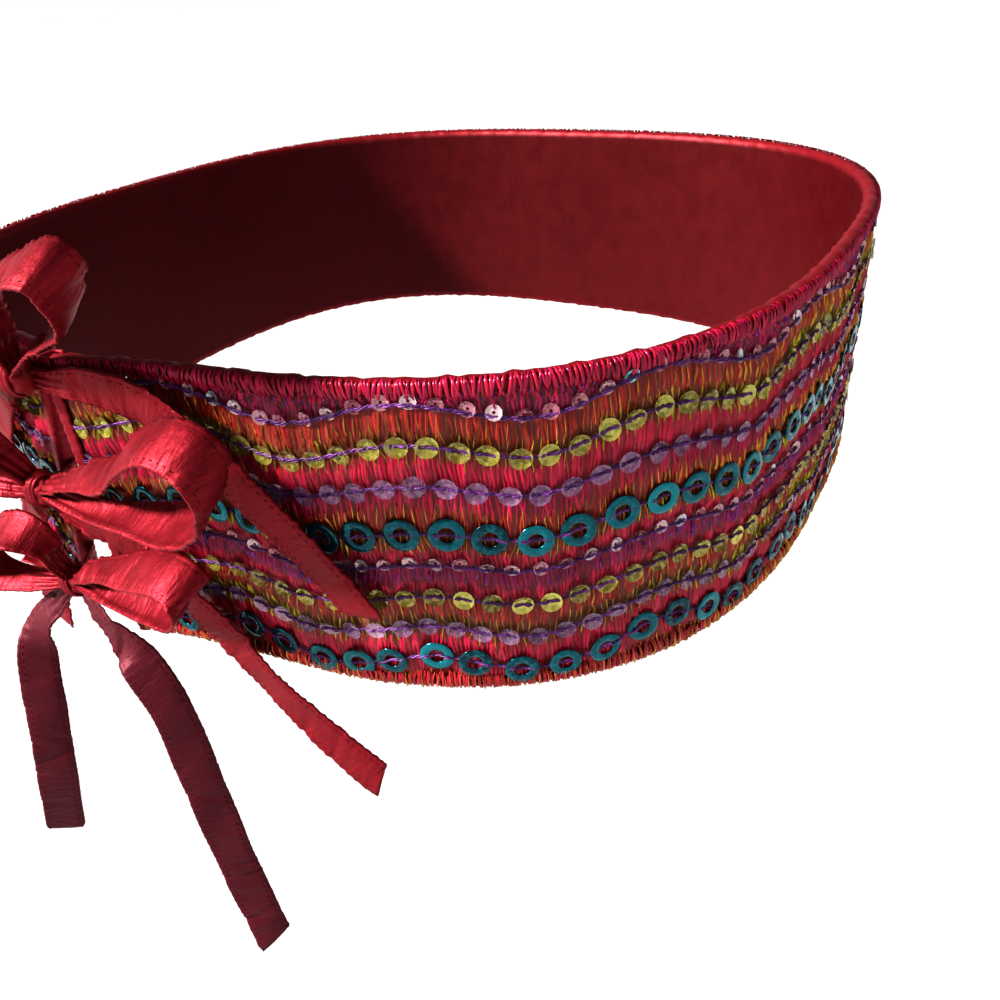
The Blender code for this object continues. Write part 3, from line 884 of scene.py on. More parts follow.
def couchedThreads(form):
    curve = bpy.data.curves.new("couchedThreads", "CURVE")
    curve.dimensions = "3D"
    curve.bevel_depth = form["thick"] * mm
    curve.bevel_resolution = 0
    curve.use_fill_caps = True
    for kind, band, *_ in sequinRows:
        height = rowLines[band - 1][0]
        rim = sequinKinds[kind]["profile"][-1][0]
        inward = form["fromEnds"]
        at = np.arange(sashStart(height) + inward, sashStop(height) - inward, form["step"])
        bands = np.full(len(at), float(band))
        nearest = np.abs(at[:, None] - sequinAt[band][None, :]).min(axis=1)
        over = np.exp(-((nearest - form["reach"] * rim) / 1.0) ** 2)
        rise = form["between"] + (form["overSequin"] - form["between"]) * over
        if kind == "ring":
            rise = rise + form["overRing"]
        for strand in range(form["strands"]):
            turn = at / form["twistEvery"] + strand / form["strands"]
            twist = 2.0 * math.pi * turn + 1.3 * np.sin(at / 7.0)
            z = heightOf(at, bands) + form["wander"] * np.sin(twist)
            z = z + dice.normal(0.0, form["stray"], len(at))
            out = clothOut(at, bands) * followed + rise + form["lift"] * np.cos(twist)
            points = np.concatenate([wallPoint(at, z, out) * mm, np.ones((len(at), 1))], axis=1)
            spline = curve.splines.new("POLY")
            spline.points.add(len(points) - 1)
            spline.points.foreach_set("co", points.ravel())
    helper = bpy.data.objects.new("couchLines", curve)
    bpy.context.scene.collection.objects.link(helper)
    mesh = bpy.data.meshes.new_from_object(helper.evaluated_get(bpy.context.evaluated_depsgraph_get()))
    bpy.data.objects.remove(helper, do_unlink=True)
    return asPiece("couchedThreads", mesh, couching)


couched = couchedThreads(couchForm)
print("couched threads made")


# ---- lining, rolled over both long edges ----

# Near the edges the lining puckers, and between them it sags a little.
liningForm = {
    "columns": 420,
    "rows": 46,
    "thickness": 0.8,
    "corner": 0.9,
    "insideHalf": 34.0,
    "insidePoints": 18,
    "edgesFrom": 33.0,
    "edgeFade": 5.0,
    "pucker": 0.11,
    "puckerInside": 0.25,
    "edgeStray": 0.10,
    "sag": 0.25,
}


def liningLine(form):
    # The middle of the lining's thickness, from its lower front edge round the back to its upper one.
    middle = beltForm["lining"] / 2
    front = beltForm["seam"] + middle
    back = -beltForm["panel"] - beltForm["seam"] - middle
    top = beltForm["height"] / 2 - middle
    corner = form["corner"]
    side, high = corner * 0.35, top - corner * 0.3
    upper = [
        (front, lipEdge), (front, top - corner), (front - side, high), (front - corner, top),
        (back + corner, top), (back + side, high), (back, top - corner)]
    inside = [(back, z) for z in np.linspace(-form["insideHalf"], form["insideHalf"], form["insidePoints"])]
    return np.array([(out, -z) for out, z in upper] + inside + upper[::-1])


def foldedLining(form):
    line = liningLine(form)
    steps = lengthAlong(line)
    mesh = flatGrid(form["columns"], form["rows"])
    flat = meshPoints(mesh)
    place = flat[:, 1] * steps[-1]
    out, z = readAlong(place, steps, line).T
    along = sashStart(z) + flat[:, 0] * (sashStop(z) - sashStart(z))
    nearEdge = np.clip((np.abs(z) - form["edgesFrom"]) / form["edgeFade"], 0.0, 1.0)
    inside = np.clip(-out - 1.5, 0.0, 1.0)
    share = form["puckerInside"] + (1.0 - form["puckerInside"]) * nearEdge
    out = out + form["pucker"] * gathers(along, 0.05 * z) * share
    out = out + inside * form["sag"] * np.sin(along / 13.0 + 0.05 * z) * np.cos(z / 30.0)
    z = z + np.sign(z) * nearEdge * form["edgeStray"] * gathers(along + 3.0, 2.0 + 0.0 * z)
    placePoints(mesh, wallPoint(along, z, out))
    pointUv(mesh, along, place)
    obj = asPiece("sashLining", mesh, shadedLiningSatin)
    thicken(obj, form["thickness"])
    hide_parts("sash_lining")


foldedLining(liningForm)
print("lining made")


# ---- bindings of the two ends ----

# tuck is how far the strip's middle lies inside the solid's outside.
bindingForm = {
    "columns": 90,
    "rows": 14,
    "thickness": 0.6,
    "tuck": 0.3,
    "overlap": 1.2,
    "pucker": 0.12,
    "puckerEvery": 2.6,
}


def endBinding(name, node, end, form):
    inner = -beltForm["panel"] - beltForm["seam"] - beltForm["lining"] + form["tuck"]
    outer = beltForm["seam"] + beltForm["lining"] - form["tuck"]
    near = beltForm["seam"] - form["overlap"]
    far = beltForm["seam"] + beltForm["binding"] - form["tuck"]
    # The strip's line as past the end and out, from the face round to the lining.
    line = np.array([
        (near, outer), (far - 0.8, outer + 0.1), (far - 0.15, outer - 0.35), (far, outer - 0.9),
        (far, inner + 0.9), (far - 0.15, inner + 0.35), (far - 0.8, inner - 0.1), (near, inner)])
    steps = lengthAlong(line)
    mesh = flatGrid(form["columns"], form["rows"])
    flat = meshPoints(mesh)
    place = flat[:, 1] * steps[-1]
    past, out = readAlong(place, steps, line).T
    z = beltForm["height"] * (flat[:, 0] - 0.5)
    pucker = form["pucker"] * np.sin(2.0 * math.pi * z / form["puckerEvery"] + 0.8 * np.sin(z / 5.0))
    out = out + pucker * np.sign(out + 1.0)
    past = past + 0.5 * pucker
    along = sashStart(z) - past if end == "left" else sashStop(z) + past
    placePoints(mesh, wallPoint(along, z, out))
    pointUv(mesh, z, place)
    obj = asPiece(name, mesh, bindingSatin)
    thicken(obj, form["thickness"])
    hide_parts(node)


endBinding("leftEndBinding", "end_binding_left", "left", bindingForm)
endBinding("rightEndBinding", "end_binding_right", "right", bindingForm)
print("end bindings made")


# ---- ties ----

# groove is the seam's depth and width, cornerRound a share of the width and its reach.
tieForm = {
    "cutWidth": 12.0,
    "gathered": 4.6,
    "thickness": 0.55,
    "step": 0.85,
    "rows": 14,
    "into": 1.2,
    "gatherReach": 17.0,
    "pleat": 0.55,
    "pleatWaves": 3.2,
    "pucker": 0.2,
    "puckerEvery": 2.4,
    "puckerReach": 1.3,
    "seamIn": 1.0,
    "groove": (0.24, 0.35),
    "crown": 0.12,
    "ripple": 0.3,
    "stray": 0.12,
    "cornerRound": (0.14, 0.9),
    "cutReach": 4.0,
    "loopCurl": -0.3,
    "wrinkleEvery": 2.6,
    "wrinklesFrom": (2.0, 6.0),
    "wrinkleStray": 2.0,
    "wrinkleReach": (0.6, 1.0, 4.0),
    "wrinkleLong": (0.6, 1.6),
    "wrinkleLean": 0.5,
    "wrinkleDeep": (-0.6, 0.3),
}

up = (0, 0, 1)
across = (1, 0, 0)
slanted = (0.7, 0, 0.7)
backSlanted = (-0.7, 0, 0.7)
inAndUp = (0, 0.87, 0.5)
halfTurned = (0.65, 0.3, 0.65)
turnedToSide = (0.72, 0.69, 0)

knots = {
    "top": {"at": (-7.0, -139.8, 36.2), "half": (4.8, 3.8, 4.6)},
    "middle": {"at": (-18.5, -139.8, 3.8), "half": (5.2, 3.8, 4.8)},
    "bottom": {"at": (-22.0, -139.8, -25.5), "half": (5.0, 3.8, 4.6)},
}

# Columns x, y, z and width. The width of every loop runs inwards and up.
loops = {
    "top_loop_left": (
        (-2.0, -143.0, 46.0, 7.0),
        (2.0, -146.0, 52.0, 11.0),
        (10.0, -149.0, 59.0, 11.0),
        (24.0, -151.0, 65.5, 11.0),
        (36.0, -152.0, 69.0, 11.0),
        (40.5, -151.0, 67.5, 11.0),
        (38.5, -148.5, 62.5, 11.0),
        (31.0, -146.0, 56.0, 8.0),
        (20.0, -144.8, 50.5, 6.5),
        (9.0, -143.8, 45.5, 5.5),
    ),
    "top_loop_right": (
        (-13.0, -143.0, 45.0, 7.0),
        (-19.0, -147.0, 52.0, 11.0),
        (-31.0, -150.0, 56.0, 11.0),
        (-43.0, -150.0, 52.0, 11.0),
        (-46.0, -148.0, 44.0, 11.0),
        (-35.0, -145.5, 38.5, 8.0),
        (-20.0, -143.0, 37.5, 6.0),
    ),
    "middle_loop_left": (
        (-5.0, -143.0, 11.0, 6.0),
        (11.0, -144.5, 17.5, 8.0),
        (27.0, -147.0, 24.0, 11.0),
        (40.0, -149.0, 33.0, 11.0),
        (51.0, -150.0, 38.0, 11.0),
        (59.0, -150.0, 37.0, 11.0),
        (61.5, -149.0, 31.5, 11.0),
        (58.0, -148.0, 24.0, 11.0),
        (50.0, -147.0, 17.5, 11.0),
        (38.0, -146.0, 13.5, 11.0),
        (24.0, -145.0, 10.5, 8.0),
        (7.0, -143.5, 7.0, 6.0),
    ),
    "middle_loop_right": (
        (-22.0, -143.0, 13.0, 7.0),
        (-27.0, -146.5, 19.5, 11.0),
        (-38.0, -149.0, 22.0, 11.0),
        (-49.0, -149.0, 15.0, 11.0),
        (-49.0, -148.0, 8.5, 11.0),
        (-39.0, -146.0, 5.0, 8.5),
        (-29.0, -143.5, 4.5, 6.5),
    ),
    "bottom_loop_left": (
        (-12.0, -143.0, -18.0, 6.0),
        (5.0, -144.5, -10.0, 8.0),
        (22.0, -146.0, -3.5, 11.0),
        (34.0, -147.0, -0.5, 11.0),
        (39.5, -147.0, -4.0, 11.0),
        (33.5, -147.0, -10.5, 11.0),
        (21.0, -146.0, -15.0, 8.0),
        (5.0, -144.0, -19.5, 6.5),
    ),
    "bottom_loop_right": (
        (-20.0, -143.5, -15.0, 6.5),
        (-17.0, -145.5, -9.0, 8.0),
        (-23.0, -148.0, -5.0, 11.0),
        (-37.0, -149.0, -9.5, 11.0),
        (-50.0, -148.5, -18.0, 11.0),
        (-50.0, -147.0, -26.5, 11.0),
        (-40.0, -145.0, -27.5, 8.0),
        (-32.0, -143.5, -26.5, 6.0),
    ),
}
# Columns x, y, z, width and the way that the width runs.
tails = {
    "top_tail_left": (
        (2.5, -138.2, 35.4, 6.0, up),
        (12.0, -137.0, 35.6, 9.0, up),
        (23.0, -134.5, 33.0, 11.0, slanted),
        (31.0, -133.4, 28.5, 11.0, slanted),
        (38.0, -132.4, 22.5, 11.0, slanted),
        (45.0, -131.0, 14.5, 11.0, slanted),
        (53.0, -129.2, 4.5, 11.0, slanted),
        (60.0, -127.4, -5.0, 11.0, slanted),
        (67.0, -125.6, -16.0, 11.0, slanted),
    ),
    "top_tail_right": (
        (-17.0, -138.0, 33.5, 7.0, up),
        (-29.0, -134.6, 26.5, 11.0, backSlanted),
        (-42.0, -132.4, 14.0, 11.0, backSlanted),
        (-53.0, -130.4, -1.0, 11.0, backSlanted),
        (-61.0, -128.6, -15.0, 11.0, backSlanted),
    ),
    "middle_tail_left": (
        (-9.5, -139.3, -3.2, 6.5, slanted),
        (2.0, -138.2, -6.5, 8.5, slanted),
        (11.0, -137.4, -11.0, 11.0, slanted),
        (18.0, -136.4, -17.0, 11.0, slanted),
        (24.0, -135.2, -25.0, 11.0, slanted),
        (31.0, -133.6, -36.0, 11.0, slanted),
        (40.0, -131.6, -49.0, 11.0, slanted),
        (51.0, -130.0, -61.0, 11.0, halfTurned),
        (63.0, -127.5, -73.0, 11.0, halfTurned),
    ),
    "middle_tail_right": (
        (-28.0, -138.0, -3.5, 7.0, backSlanted),
        (-39.0, -135.0, -13.0, 11.0, backSlanted),
        (-49.0, -133.0, -26.0, 11.0, backSlanted),
        (-56.0, -132.0, -42.0, 11.0, across),
        (-60.0, -132.0, -60.0, 11.0, across),
    ),
    "bottom_tail_left": (
        (-14.0, -142.0, -31.8, 8.0, slanted),
        (-7.0, -142.8, -38.0, 11.0, across),
        (0.6, -143.3, -46.0, 11.0, turnedToSide),
        (6.6, -143.8, -57.5, 11.0, turnedToSide),
        (9.6, -144.8, -73.0, 11.0, turnedToSide),
        (13.8, -146.9, -93.0, 11.0, turnedToSide),
        (18.6, -148.6, -120.0, 11.0, turnedToSide),
        (25.0, -150.3, -145.0, 11.0, turnedToSide),
    ),
    "bottom_tail_right": (
        (-30.5, -143.0, -34.0, 7.0, across),
        (-38.0, -146.5, -42.0, 9.0, across),
        (-39.8, -150.6, -52.5, 11.0, turnedToSide),
        (-38.2, -155.9, -70.0, 11.0, turnedToSide),
        (-38.2, -160.9, -89.5, 11.0, turnedToSide),
        (-43.0, -164.8, -115.5, 11.0, turnedToSide),
    ),
}
# How much further a tail's upper or right edge runs than its middle, to its slanted cut.
tailCuts = {
    "top_tail_left": 2.5,
    "top_tail_right": 2.5,
    "middle_tail_left": -2.5,
    "middle_tail_right": 2.0,
    "bottom_tail_left": -2.5,
    "bottom_tail_right": 0.0,
}


def smoothRoute(rows, step):
    # A smooth curve through the rows, read off at even steps along its length.
    rows = np.array([[x, y, z, width, *way] for x, y, z, width, way in rows], dtype=float)
    padded = np.vstack([2 * rows[0] - rows[1], rows, 2 * rows[-1] - rows[-2]])
    fine = []
    for k in range(1, len(padded) - 2):
        a, b, c, d = padded[k - 1:k + 3]
        for t in np.linspace(0.0, 1.0, 24, endpoint=False):
            curved = (c - a) * t + (2 * a - 5 * b + 4 * c - d) * t**2 + (3 * b - a - 3 * c + d) * t**3
            fine.append(b + 0.5 * curved)
    fine = np.array(fine + [rows[-1]])
    length = lengthAlong(fine[:, :3])
    places = np.linspace(0.0, length[-1], max(4, int(round(length[-1] / step)) + 1))
    return readAlong(places, length, fine), places


def knotEdge(knot, towards):
    # Just inside the knot, on its way to a point, so that the strip comes out of its folds.
    unit = np.array(towards[:3]) - knot["at"]
    unit = unit / np.linalg.norm(unit)
    reach = 1.0 / np.linalg.norm(unit / np.array(knot["half"]))
    return np.array(knot["at"]) + unit * (reach - tieForm["into"])


def smallWrinkles(at, side, width, length, seed, form):
    # Uneven wrinkles that start at one edge of the strip, and some that cross it.
    wrinkles = np.random.default_rng(seed + 40)
    total = 0.0 * at
    for place in np.arange(wrinkles.uniform(*form["wrinklesFrom"]), length, form["wrinkleEvery"]):
        place = place + wrinkles.uniform(-form["wrinkleStray"], form["wrinkleStray"])
        fromSide = wrinkles.choice([-1.0, 1.0])
        reach = wrinkles.choice(form["wrinkleReach"])
        long = wrinkles.uniform(*form["wrinkleLong"])
        lean = wrinkles.uniform(-form["wrinkleLean"], form["wrinkleLean"])
        off = at - place - lean * side * width / 2
        near = np.exp(-(((1.0 - fromSide * side) / reach) ** 2))
        total = total + wrinkles.uniform(*form["wrinkleDeep"]) * np.exp(-((off / long) ** 2)) * near
    return total


def tieLift(at, side, width, gather, length, seed, form, creases, curl):
    # How far each point of a strip stands off its middle surface.
    pleats = form["pleat"] * gather * np.sin(form["pleatWaves"] * math.pi * side + 1.9 * seed + 0.12 * at)
    inFromEdge = (1.0 - np.abs(side)) * width / 2
    turn = 2.0 * math.pi * at / form["puckerEvery"] + 1.1 * np.sin(at / 6.0 + seed)
    pucker = form["pucker"] * np.sin(turn) * np.exp(-inFromEdge / form["puckerReach"])
    deep, wide = form["groove"]
    groove = -deep * np.exp(-((inFromEdge - form["seamIn"]) / wide) ** 2)
    crown = form["crown"] * (1.0 - side**2) + curl * side**2
    wave = np.sin(at / 6.5 + 1.9 * seed + 1.6 * side) * np.sin(at / 15.0 + 2.2 * seed)
    bend = smallWrinkles(at, side, width, length, seed, form)
    for place, long, rise, slant in creases:
        bend = bend + rise * np.exp(-((at - place - slant * side * width / 2) / long) ** 2)
    return pleats + pucker + groove + crown + form["ripple"] * wave * (1.0 - gather) + bend


def tieStrip(name, node, rows, knotEnds, seed, form, cut=0.0, creases=(), curl=0.0, satin=tieSatin):
    # knotEnds says which ends are gathered in a knot: first, last or both.
    route, places = smoothRoute(rows, form["step"])
    middle = route[:, :3]
    tangent = np.gradient(middle, axis=0)
    tangent /= np.linalg.norm(tangent, axis=1)[:, None]
    way = route[:, 4:] - (route[:, 4:] * tangent).sum(axis=1)[:, None] * tangent
    way /= np.linalg.norm(way, axis=1)[:, None]
    facing = np.cross(tangent, way)
    mesh = flatGrid(len(route) - 1, form["rows"])
    flat = meshPoints(mesh)
    row = np.rint(flat[:, 0] * (len(route) - 1)).astype(int)
    side = 2.0 * flat[:, 1] - 1.0
    at = places[row]
    width = route[row, 3]
    fromStop = places[-1] - at
    fromKnot = np.minimum(
        at if "first" in knotEnds else np.inf, fromStop if "last" in knotEnds else np.inf)
    if "last" not in knotEnds:
        share, reach = form["cornerRound"]
        width = width * (1.0 - share * np.exp(-((fromStop / reach) ** 2)))
    gather = np.clip(1.0 - fromKnot / form["gatherReach"], 0.0, 1.0) ** 1.5
    lift = tieLift(at, side, width, gather, places[-1], seed, form, creases, curl)
    stray = form["stray"] * np.sin(at / 4.1 + 2.7 * seed) * side**2
    slanted = cut * side * np.clip(1.0 - fromStop / form["cutReach"], 0.0, 1.0)
    points = middle[row] + way[row] * (side * width / 2 + np.sign(side) * stray)[:, None]
    points = points + facing[row] * lift[:, None] + tangent[row] * slanted[:, None]
    placePoints(mesh, points)
    pointUv(mesh, at, side * width / 2)
    obj = asPiece(name, mesh, satin)
    thicken(obj, form["thickness"])
    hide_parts(node)
    grid = np.empty((len(route), form["rows"] + 1, 3))
    grid[row, np.rint(flat[:, 1] * form["rows"]).astype(int)] = points
    tieSeams.append({"places": places, "grid": grid, "facing": facing, "way": way})
    return obj


tieSeams = []
# Creases listed one by one: place along the strip, length, rise and slant.
tieCreases = {
    "top_loop_left": (
        (9.0, 2.5, -0.7, 0.4), (21.0, 2.0, 0.5, -0.5), (66.0, 2.2, -0.6, 0.5), (80.0, 2.0, 0.5, 0.3)),
    "top_loop_right": ((12.0, 2.2, 0.6, 0.4), (52.0, 2.4, -0.6, -0.4)),
    "middle_loop_left": (
        (14.0, 2.3, -0.6, 0.5), (33.0, 2.6, 0.5, -0.4), (98.0, 2.2, -0.6, 0.4), (120.0, 2.5, 0.5, 0.3)),
    "middle_loop_right": ((10.0, 2.0, 0.5, -0.4), (50.0, 2.4, -0.5, 0.4)),
    "bottom_loop_left": ((13.0, 2.2, 0.5, 0.4), (70.0, 2.2, -0.5, 0.5)),
    "bottom_loop_right": ((11.0, 2.0, -0.5, 0.4), (58.0, 2.3, 0.5, -0.4)),
    "top_tail_left": ((11.0, 2.0, 0.5, 0.5), (27.0, 2.6, -0.4, -0.4)),
    "top_tail_right": ((12.0, 2.2, -0.5, 0.4),),
    "middle_tail_left": (
        (12.0, 2.0, 0.5, 0.4), (24.0, 2.2, -0.5, 0.5), (33.0, 2.0, 0.4, -0.5), (58.0, 3.0, -0.4, 0.3)),
    "middle_tail_right": ((13.0, 2.3, 0.5, 0.4),),
    "bottom_tail_left": ((9.0, 2.0, 0.5, 0.5), (20.0, 2.4, -0.5, -0.4), (60.0, 3.5, 0.4, 0.3)),
    "bottom_tail_right": ((10.0, 2.2, -0.5, 0.4), (42.0, 3.0, 0.4, -0.3)),
}


def pieceName(node):
    first, *rest = node.split("_")
    return first + "".join(word.capitalize() for word in rest)


for seed, (node, rows) in enumerate(loops.items()):
    knot = knots[node.split("_")[0]]
    rows = [(*row, inAndUp) for row in rows]
    first, last = ((*knotEdge(knot, row), tieForm["gathered"], inAndUp) for row in (rows[0], rows[-1]))
    tieStrip(
        pieceName(node), node, (first, *rows, last), ("first", "last"), seed, tieForm,
        creases=tieCreases[node], curl=tieForm["loopCurl"])
# The lowest tails get the duller satin whose darker colours are painted shade.
for seed, (node, rows) in enumerate(tails.items()):
    knot = knots[node.split("_")[0]]
    first = (*knotEdge(knot, rows[0]), tieForm["gathered"], rows[0][4])
    tieStrip(
        pieceName(node), node, (first, *rows), ("first",), seed + 10, tieForm,
        cut=tailCuts[node], creases=tieCreases[node],
        satin=dullShadedSatin if node.startswith("bottom") else tieSatin)
print("loops and tails made")

# gap is the clear space between each end's binding and its straps.
strapForm = {
    "steps": 6,
    "step": 0.6,
    "width": 6.5,
    "pleat": 0.3,
    "root": -2.4,
    "under": 1.6,
    "spread": 2.0,
    "bow": 0.4,
    "gap": {"left": 0.9, "right": 1.9},
}


def tieStrap(bow, side, form, seed):
    knot = knots[bow]
    z = knot["at"][2]
    past = beltForm["seam"] + beltForm["binding"] + form["gap"][side] - form["under"]

    def beyond(height, more):
        if side == "left":
            return wallPoint(sashStart(height) - past - more, height, form["root"])
        return wallPoint(sashStop(height) + past + more, height, form["root"])

    root = beyond(z, 0.0)
    away = beyond(z, 1.0) - root
    alongEdge = beyond(z + 1.0, 0.0) - root
    towards = (root + away + np.array(knot["at"]) + (0.0, knot["half"][1], 0.0)) / 2
    sign = -math.copysign(1.0, away[0])
    towards[0] = knot["at"][0] + sign * max(sign * (towards[0] - knot["at"][0]), form["spread"])
    stop = knotEdge(knot, towards)
    bowOut = form["bow"] * np.linalg.norm(stop - root)
    rows = []
    for t in np.linspace(0.0, 1.0, form["steps"]):
        point = root + t * (stop - root) + away * bowOut * t * (1.0 - t)
        rows.append((*point, form["width"] + t * (tieForm["gathered"] - form["width"]), tuple(alongEdge)))
    node = f"{bow}_strap_{side}"
    cloth = dict(tieForm, step=form["step"], pleat=form["pleat"])
    return tieStrip(pieceName(node), node, rows, ("last",), seed, cloth)


for seed, (bow, side) in enumerate((bow, side) for bow in knots for side in ("left", "right")):
    tieStrap(bow, side, strapForm, seed + 20)

# Each strap is the start of the strip whose free end is the tail on its side.
print("straps made")


# ---- seam stitches along the edges of the ties ----

seamForm = {
    "columns": 3,
    "rows": 2,
    "pitch": 2.0,
    "long": 1.3,
    "wide": 0.34,
    "rise": 0.16,
    "sunk": 0.04,
    "rowsIn": 2,
    "fromStart": 3.0,
    "fromStop": 2.0,
}


def seamStitches(form):
    template = flatGrid(form["columns"], form["rows"])
    local = meshPoints(template)
    down, side = local[:, 0], local[:, 1] - 0.5
    arch = np.sin(math.pi * down) ** 0.5 * (1.0 - (2.0 * side) ** 2)
    rise = (tieForm["thickness"] / 2 - form["sunk"] + form["rise"] * arch)[None, :, None]
    wide = (form["wide"] * side)[None, :, None]
    copies = []
    for seam in tieSeams:
        places = seam["places"]
        starts = np.arange(form["fromStart"], places[-1] - form["fromStop"], form["pitch"])
        at = starts[:, None] + form["long"] * (down - 0.5)[None, :]
        out, way = (readAlong(at, places, seam[key]) for key in ("facing", "way"))
        for line in (form["rowsIn"], -1 - form["rowsIn"]):
            base = readAlong(at, places, seam["grid"][:, line])
            copies += [base + face * (out * rise + way * wide) for face in (-1.0, 1.0)]
    return repeated("tieSeamStitches", template, np.concatenate(copies), seamThread)


tieSeam = seamStitches(seamForm)
print("seam stitches made:", len(tieSeam.data.polygons), "faces")


# ---- knots ----

# waist is the share that the band draws in, and its reach.
knotForm = {"around": 56, "along": 36, "pleats": 7, "pleat": 0.055, "waist": (0.12, 0.35)}


def knotCore(name, node, knot, form, seed):
    ball = bmesh.new()
    bmesh.ops.create_uvsphere(ball, u_segments=form["around"], v_segments=form["along"], radius=1.0)
    bmesh.ops.rotate(ball, cent=(0, 0, 0), matrix=Matrix.Rotation(math.pi / 2, 3, "Y"), verts=ball.verts)
    drawn, reach = form["waist"]
    for vert in ball.verts:
        x, y, z = vert.co
        turn = math.atan2(z, y)
        pleat = form["pleat"] * math.sin(form["pleats"] * turn + seed + 0.9 * x)
        pleat = pleat * min(1.0, 2.2 * math.hypot(y, z))
        size = (1.0 + pleat) * (1.0 - drawn * math.exp(-(x / reach) ** 2))
        point = np.array([x, y * size, z * size]) * knot["half"] + knot["at"]
        vert.co = Vector(point * mm)
    mesh = meshOf(ball, name)
    points = meshPoints(mesh) / mm
    pointUv(mesh, points[:, 0], points[:, 2])
    obj = asPiece(name, mesh, knotSatin)
    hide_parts(node)


# The band that is wrapped round each knot. slants has one for each bow.
bandForm = {
    "around": 64,
    "across": 14,
    "half": 2.5,
    "rise": 0.5,
    "thickness": 0.6,
    "onKnot": 0.97,
    "gather": 0.16,
    "pinch": 0.22,
    "slants": {"top": 0.22, "middle": 0.10, "bottom": -0.02},
}


def knotBand(name, knot, form, seed, slant):
    mesh = flatGrid(form["around"], form["across"])
    flat = meshPoints(mesh)
    turn = 2.0 * math.pi * flat[:, 0]
    side = 2.0 * flat[:, 1] - 1.0
    _, hy, hz = knot["half"]
    folds = form["gather"] * np.sin(3.3 * math.pi * side + seed + 1.2 * np.sin(turn))
    crown = form["rise"] * (1.0 - side**2) + folds
    y = (hy * form["onKnot"] + crown) * np.cos(turn)
    z = (hz * form["onKnot"] + crown) * np.sin(turn)
    x = side * form["half"] * (1.0 - form["pinch"] * np.cos(turn + 0.6) ** 2) + slant * z
    placePoints(mesh, np.stack([x, y, z], axis=-1) + knot["at"])
    pointUv(mesh, turn * hz, side * form["half"])
    sewn = bmesh.new()
    sewn.from_mesh(mesh)
    bmesh.ops.remove_doubles(sewn, verts=sewn.verts, dist=1e-6)
    bmesh.ops.recalc_face_normals(sewn, faces=sewn.faces)
    sewn.to_mesh(mesh)
    sewn.free()
    obj = asPiece(name, mesh, knotSatin)
    thicken(obj, form["thickness"], offset=-1.0)


for seed, (bow, knot) in enumerate(knots.items()):
    knotCore(bow + "Knot", bow + "_knot", knot, knotForm, seed)
    knotBand(bow + "Band", knot, bandForm, 2.0 * seed, bandForm["slants"][bow])
print("knots made")


# ---- floor, light and camera ----

# A pale round floor, in millimetres. Its grey runs between the two tones.
floorForm = {"radius": 40000.0, "below": -520.0, "sides": 96, "tones": (0.50, 0.52)}


def studioFloor(form):
    disc = bmesh.new()
    bmesh.ops.create_circle(disc, cap_ends=True, radius=form["radius"] * mm, segments=form["sides"])
    bmesh.ops.translate(disc, vec=(0, 0, form["below"] * mm), verts=disc.verts)
    mesh = meshOf(disc, "studioFloor")
    material, tree = newTree("PaleFloor")
    darker, lighter = ((tone, tone, tone) for tone in form["tones"])
    grain = noise(tree, objectPlace(tree), 3.0)
    color = colorRamp(tree, grain, ((0.3, darker), (0.7, lighter)))
    mesh.materials.append(finished(material, {"Base Color": color, "Roughness": 0.8}))
    obj = bpy.data.objects.new("studioFloor", mesh)
    bpy.context.scene.collection.objects.link(obj)


studioFloor(floorForm)

# The way the sun's light comes from, its strength and how wide it looks in degrees.
sunForm = {"from": (-0.56, -0.60, 0.57), "strength": 7.5, "width": 9.0, "color": (1.0, 0.97, 0.94)}

# Place and aim in millimetres, size in millimetres, power in watts.
fillForm = {
    "place": (800.0, -500.0, 500.0),
    "aim": (60.0, -60.0, 0.0),
    "size": 700.0,
    "power": 0.8,
    "color": (0.92, 0.96, 1.0),
}


def lampTurned(name, kind, back):
    # A new lamp whose back points the given way, with its light.
    light = bpy.data.lights.new(name, kind)
    obj = bpy.data.objects.new(name, light)
    obj.matrix_world = Vector(back).normalized().to_track_quat("Z", "Y").to_matrix().to_4x4()
    bpy.context.scene.collection.objects.link(obj)
    return light, obj


sun, _ = lampTurned("key", "SUN", sunForm["from"])
sun.energy = sunForm["strength"]
sun.angle = math.radians(sunForm["width"])
sun.color = sunForm["color"]

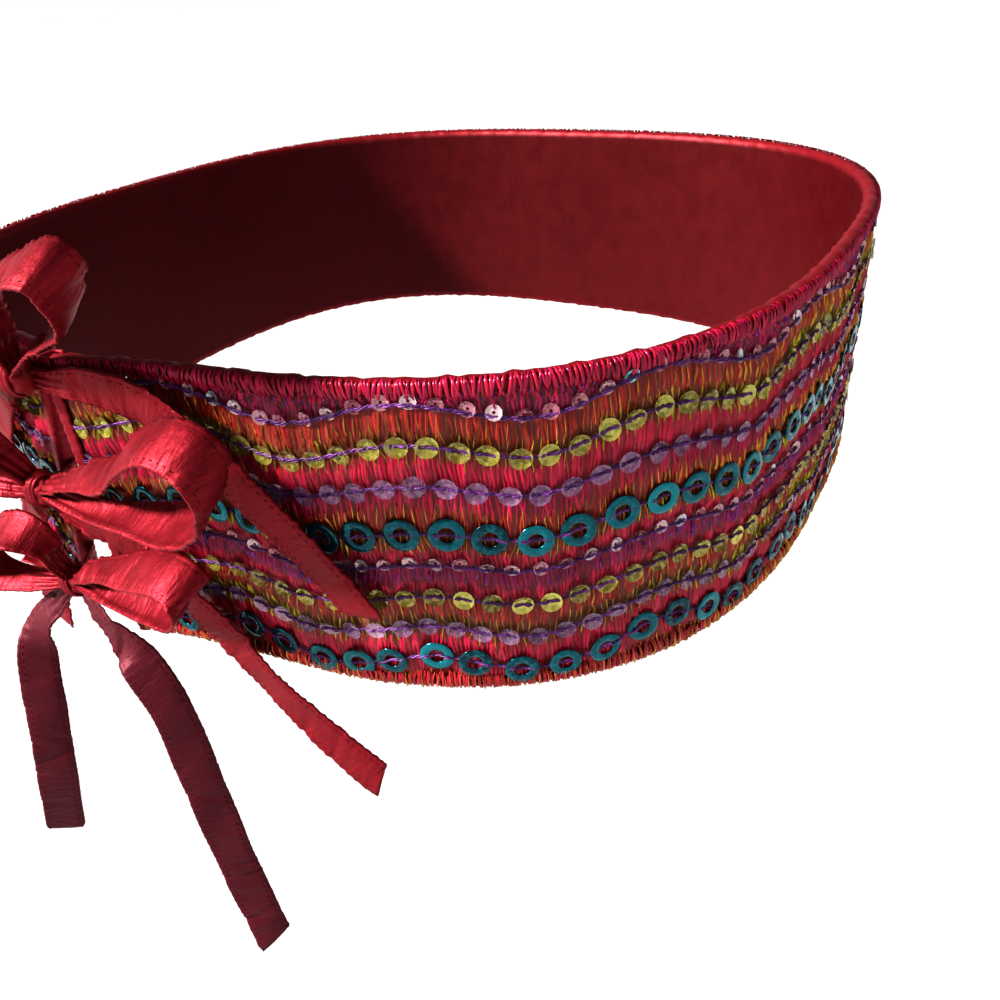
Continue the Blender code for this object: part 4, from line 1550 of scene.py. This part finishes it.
fill, fillObject = lampTurned("fill", "AREA", Vector(fillForm["place"]) - Vector(fillForm["aim"]))
fillObject.matrix_world.translation = Vector(fillForm["place"]) * mm
fill.size = fillForm["size"] * mm
fill.energy = fillForm["power"]
fill.color = fillForm["color"]

# The air's light by height: 0 is level with the horizon and 1 straight up.
airTones = ((0.0, (0.70, 0.71, 0.73)), (0.12, (0.42, 0.43, 0.45)), (0.5, (0.15, 0.155, 0.16)))


def studioAir():
    world = bpy.data.worlds.new("studioAir")
    world.use_nodes = True
    tree = world.node_tree
    around = addNode(tree, "ShaderNodeTexCoord", {}).outputs["Generated"]
    parts = addNode(tree, "ShaderNodeSeparateXYZ", {"Vector": around}).outputs
    setInputs(tree, tree.nodes["Background"], {"Color": colorRamp(tree, parts["Z"], airTones)})
    bpy.context.scene.world = world


studioAir()
bpy.context.scene.view_settings.view_transform = "Standard"
bpy.context.scene.view_settings.look = "High Contrast"

# Place in millimetres, angles in degrees, nearest in metres.
cameraForm = {
    "place": (172.4, -225.9, 103.8),
    "azimuth": 33.4,
    "elevation": 33.0,
    "roll": -5.0,
    "lens": 29.664,
    "sensor": 36.0,
    "nearest": 0.01,
}


def photoCamera(form):
    azimuth, elevation, roll = (math.radians(form[key]) for key in ("azimuth", "elevation", "roll"))
    level = math.cos(elevation)
    back = Vector((math.sin(azimuth) * level, -math.cos(azimuth) * level, math.sin(elevation)))
    right = (-back).cross(Vector((0, 0, 1))).normalized()
    upward = right.cross(-back)
    rolledRight = math.cos(roll) * right + math.sin(roll) * upward
    rolledUp = -math.sin(roll) * right + math.cos(roll) * upward
    camera = bpy.data.cameras.new("photoCamera")
    camera.sensor_width = form["sensor"]
    camera.lens = form["lens"]
    camera.clip_start = form["nearest"]
    obj = bpy.data.objects.new("photoCamera", camera)
    turn = Matrix((rolledRight, rolledUp, back)).transposed().to_4x4()
    obj.matrix_world = Matrix.Translation(Vector(form["place"]) * mm) @ turn
    bpy.context.scene.collection.objects.link(obj)
    bpy.context.scene.camera = obj


photoCamera(cameraForm)
print("studio made")

bpy.context.view_layer.update()
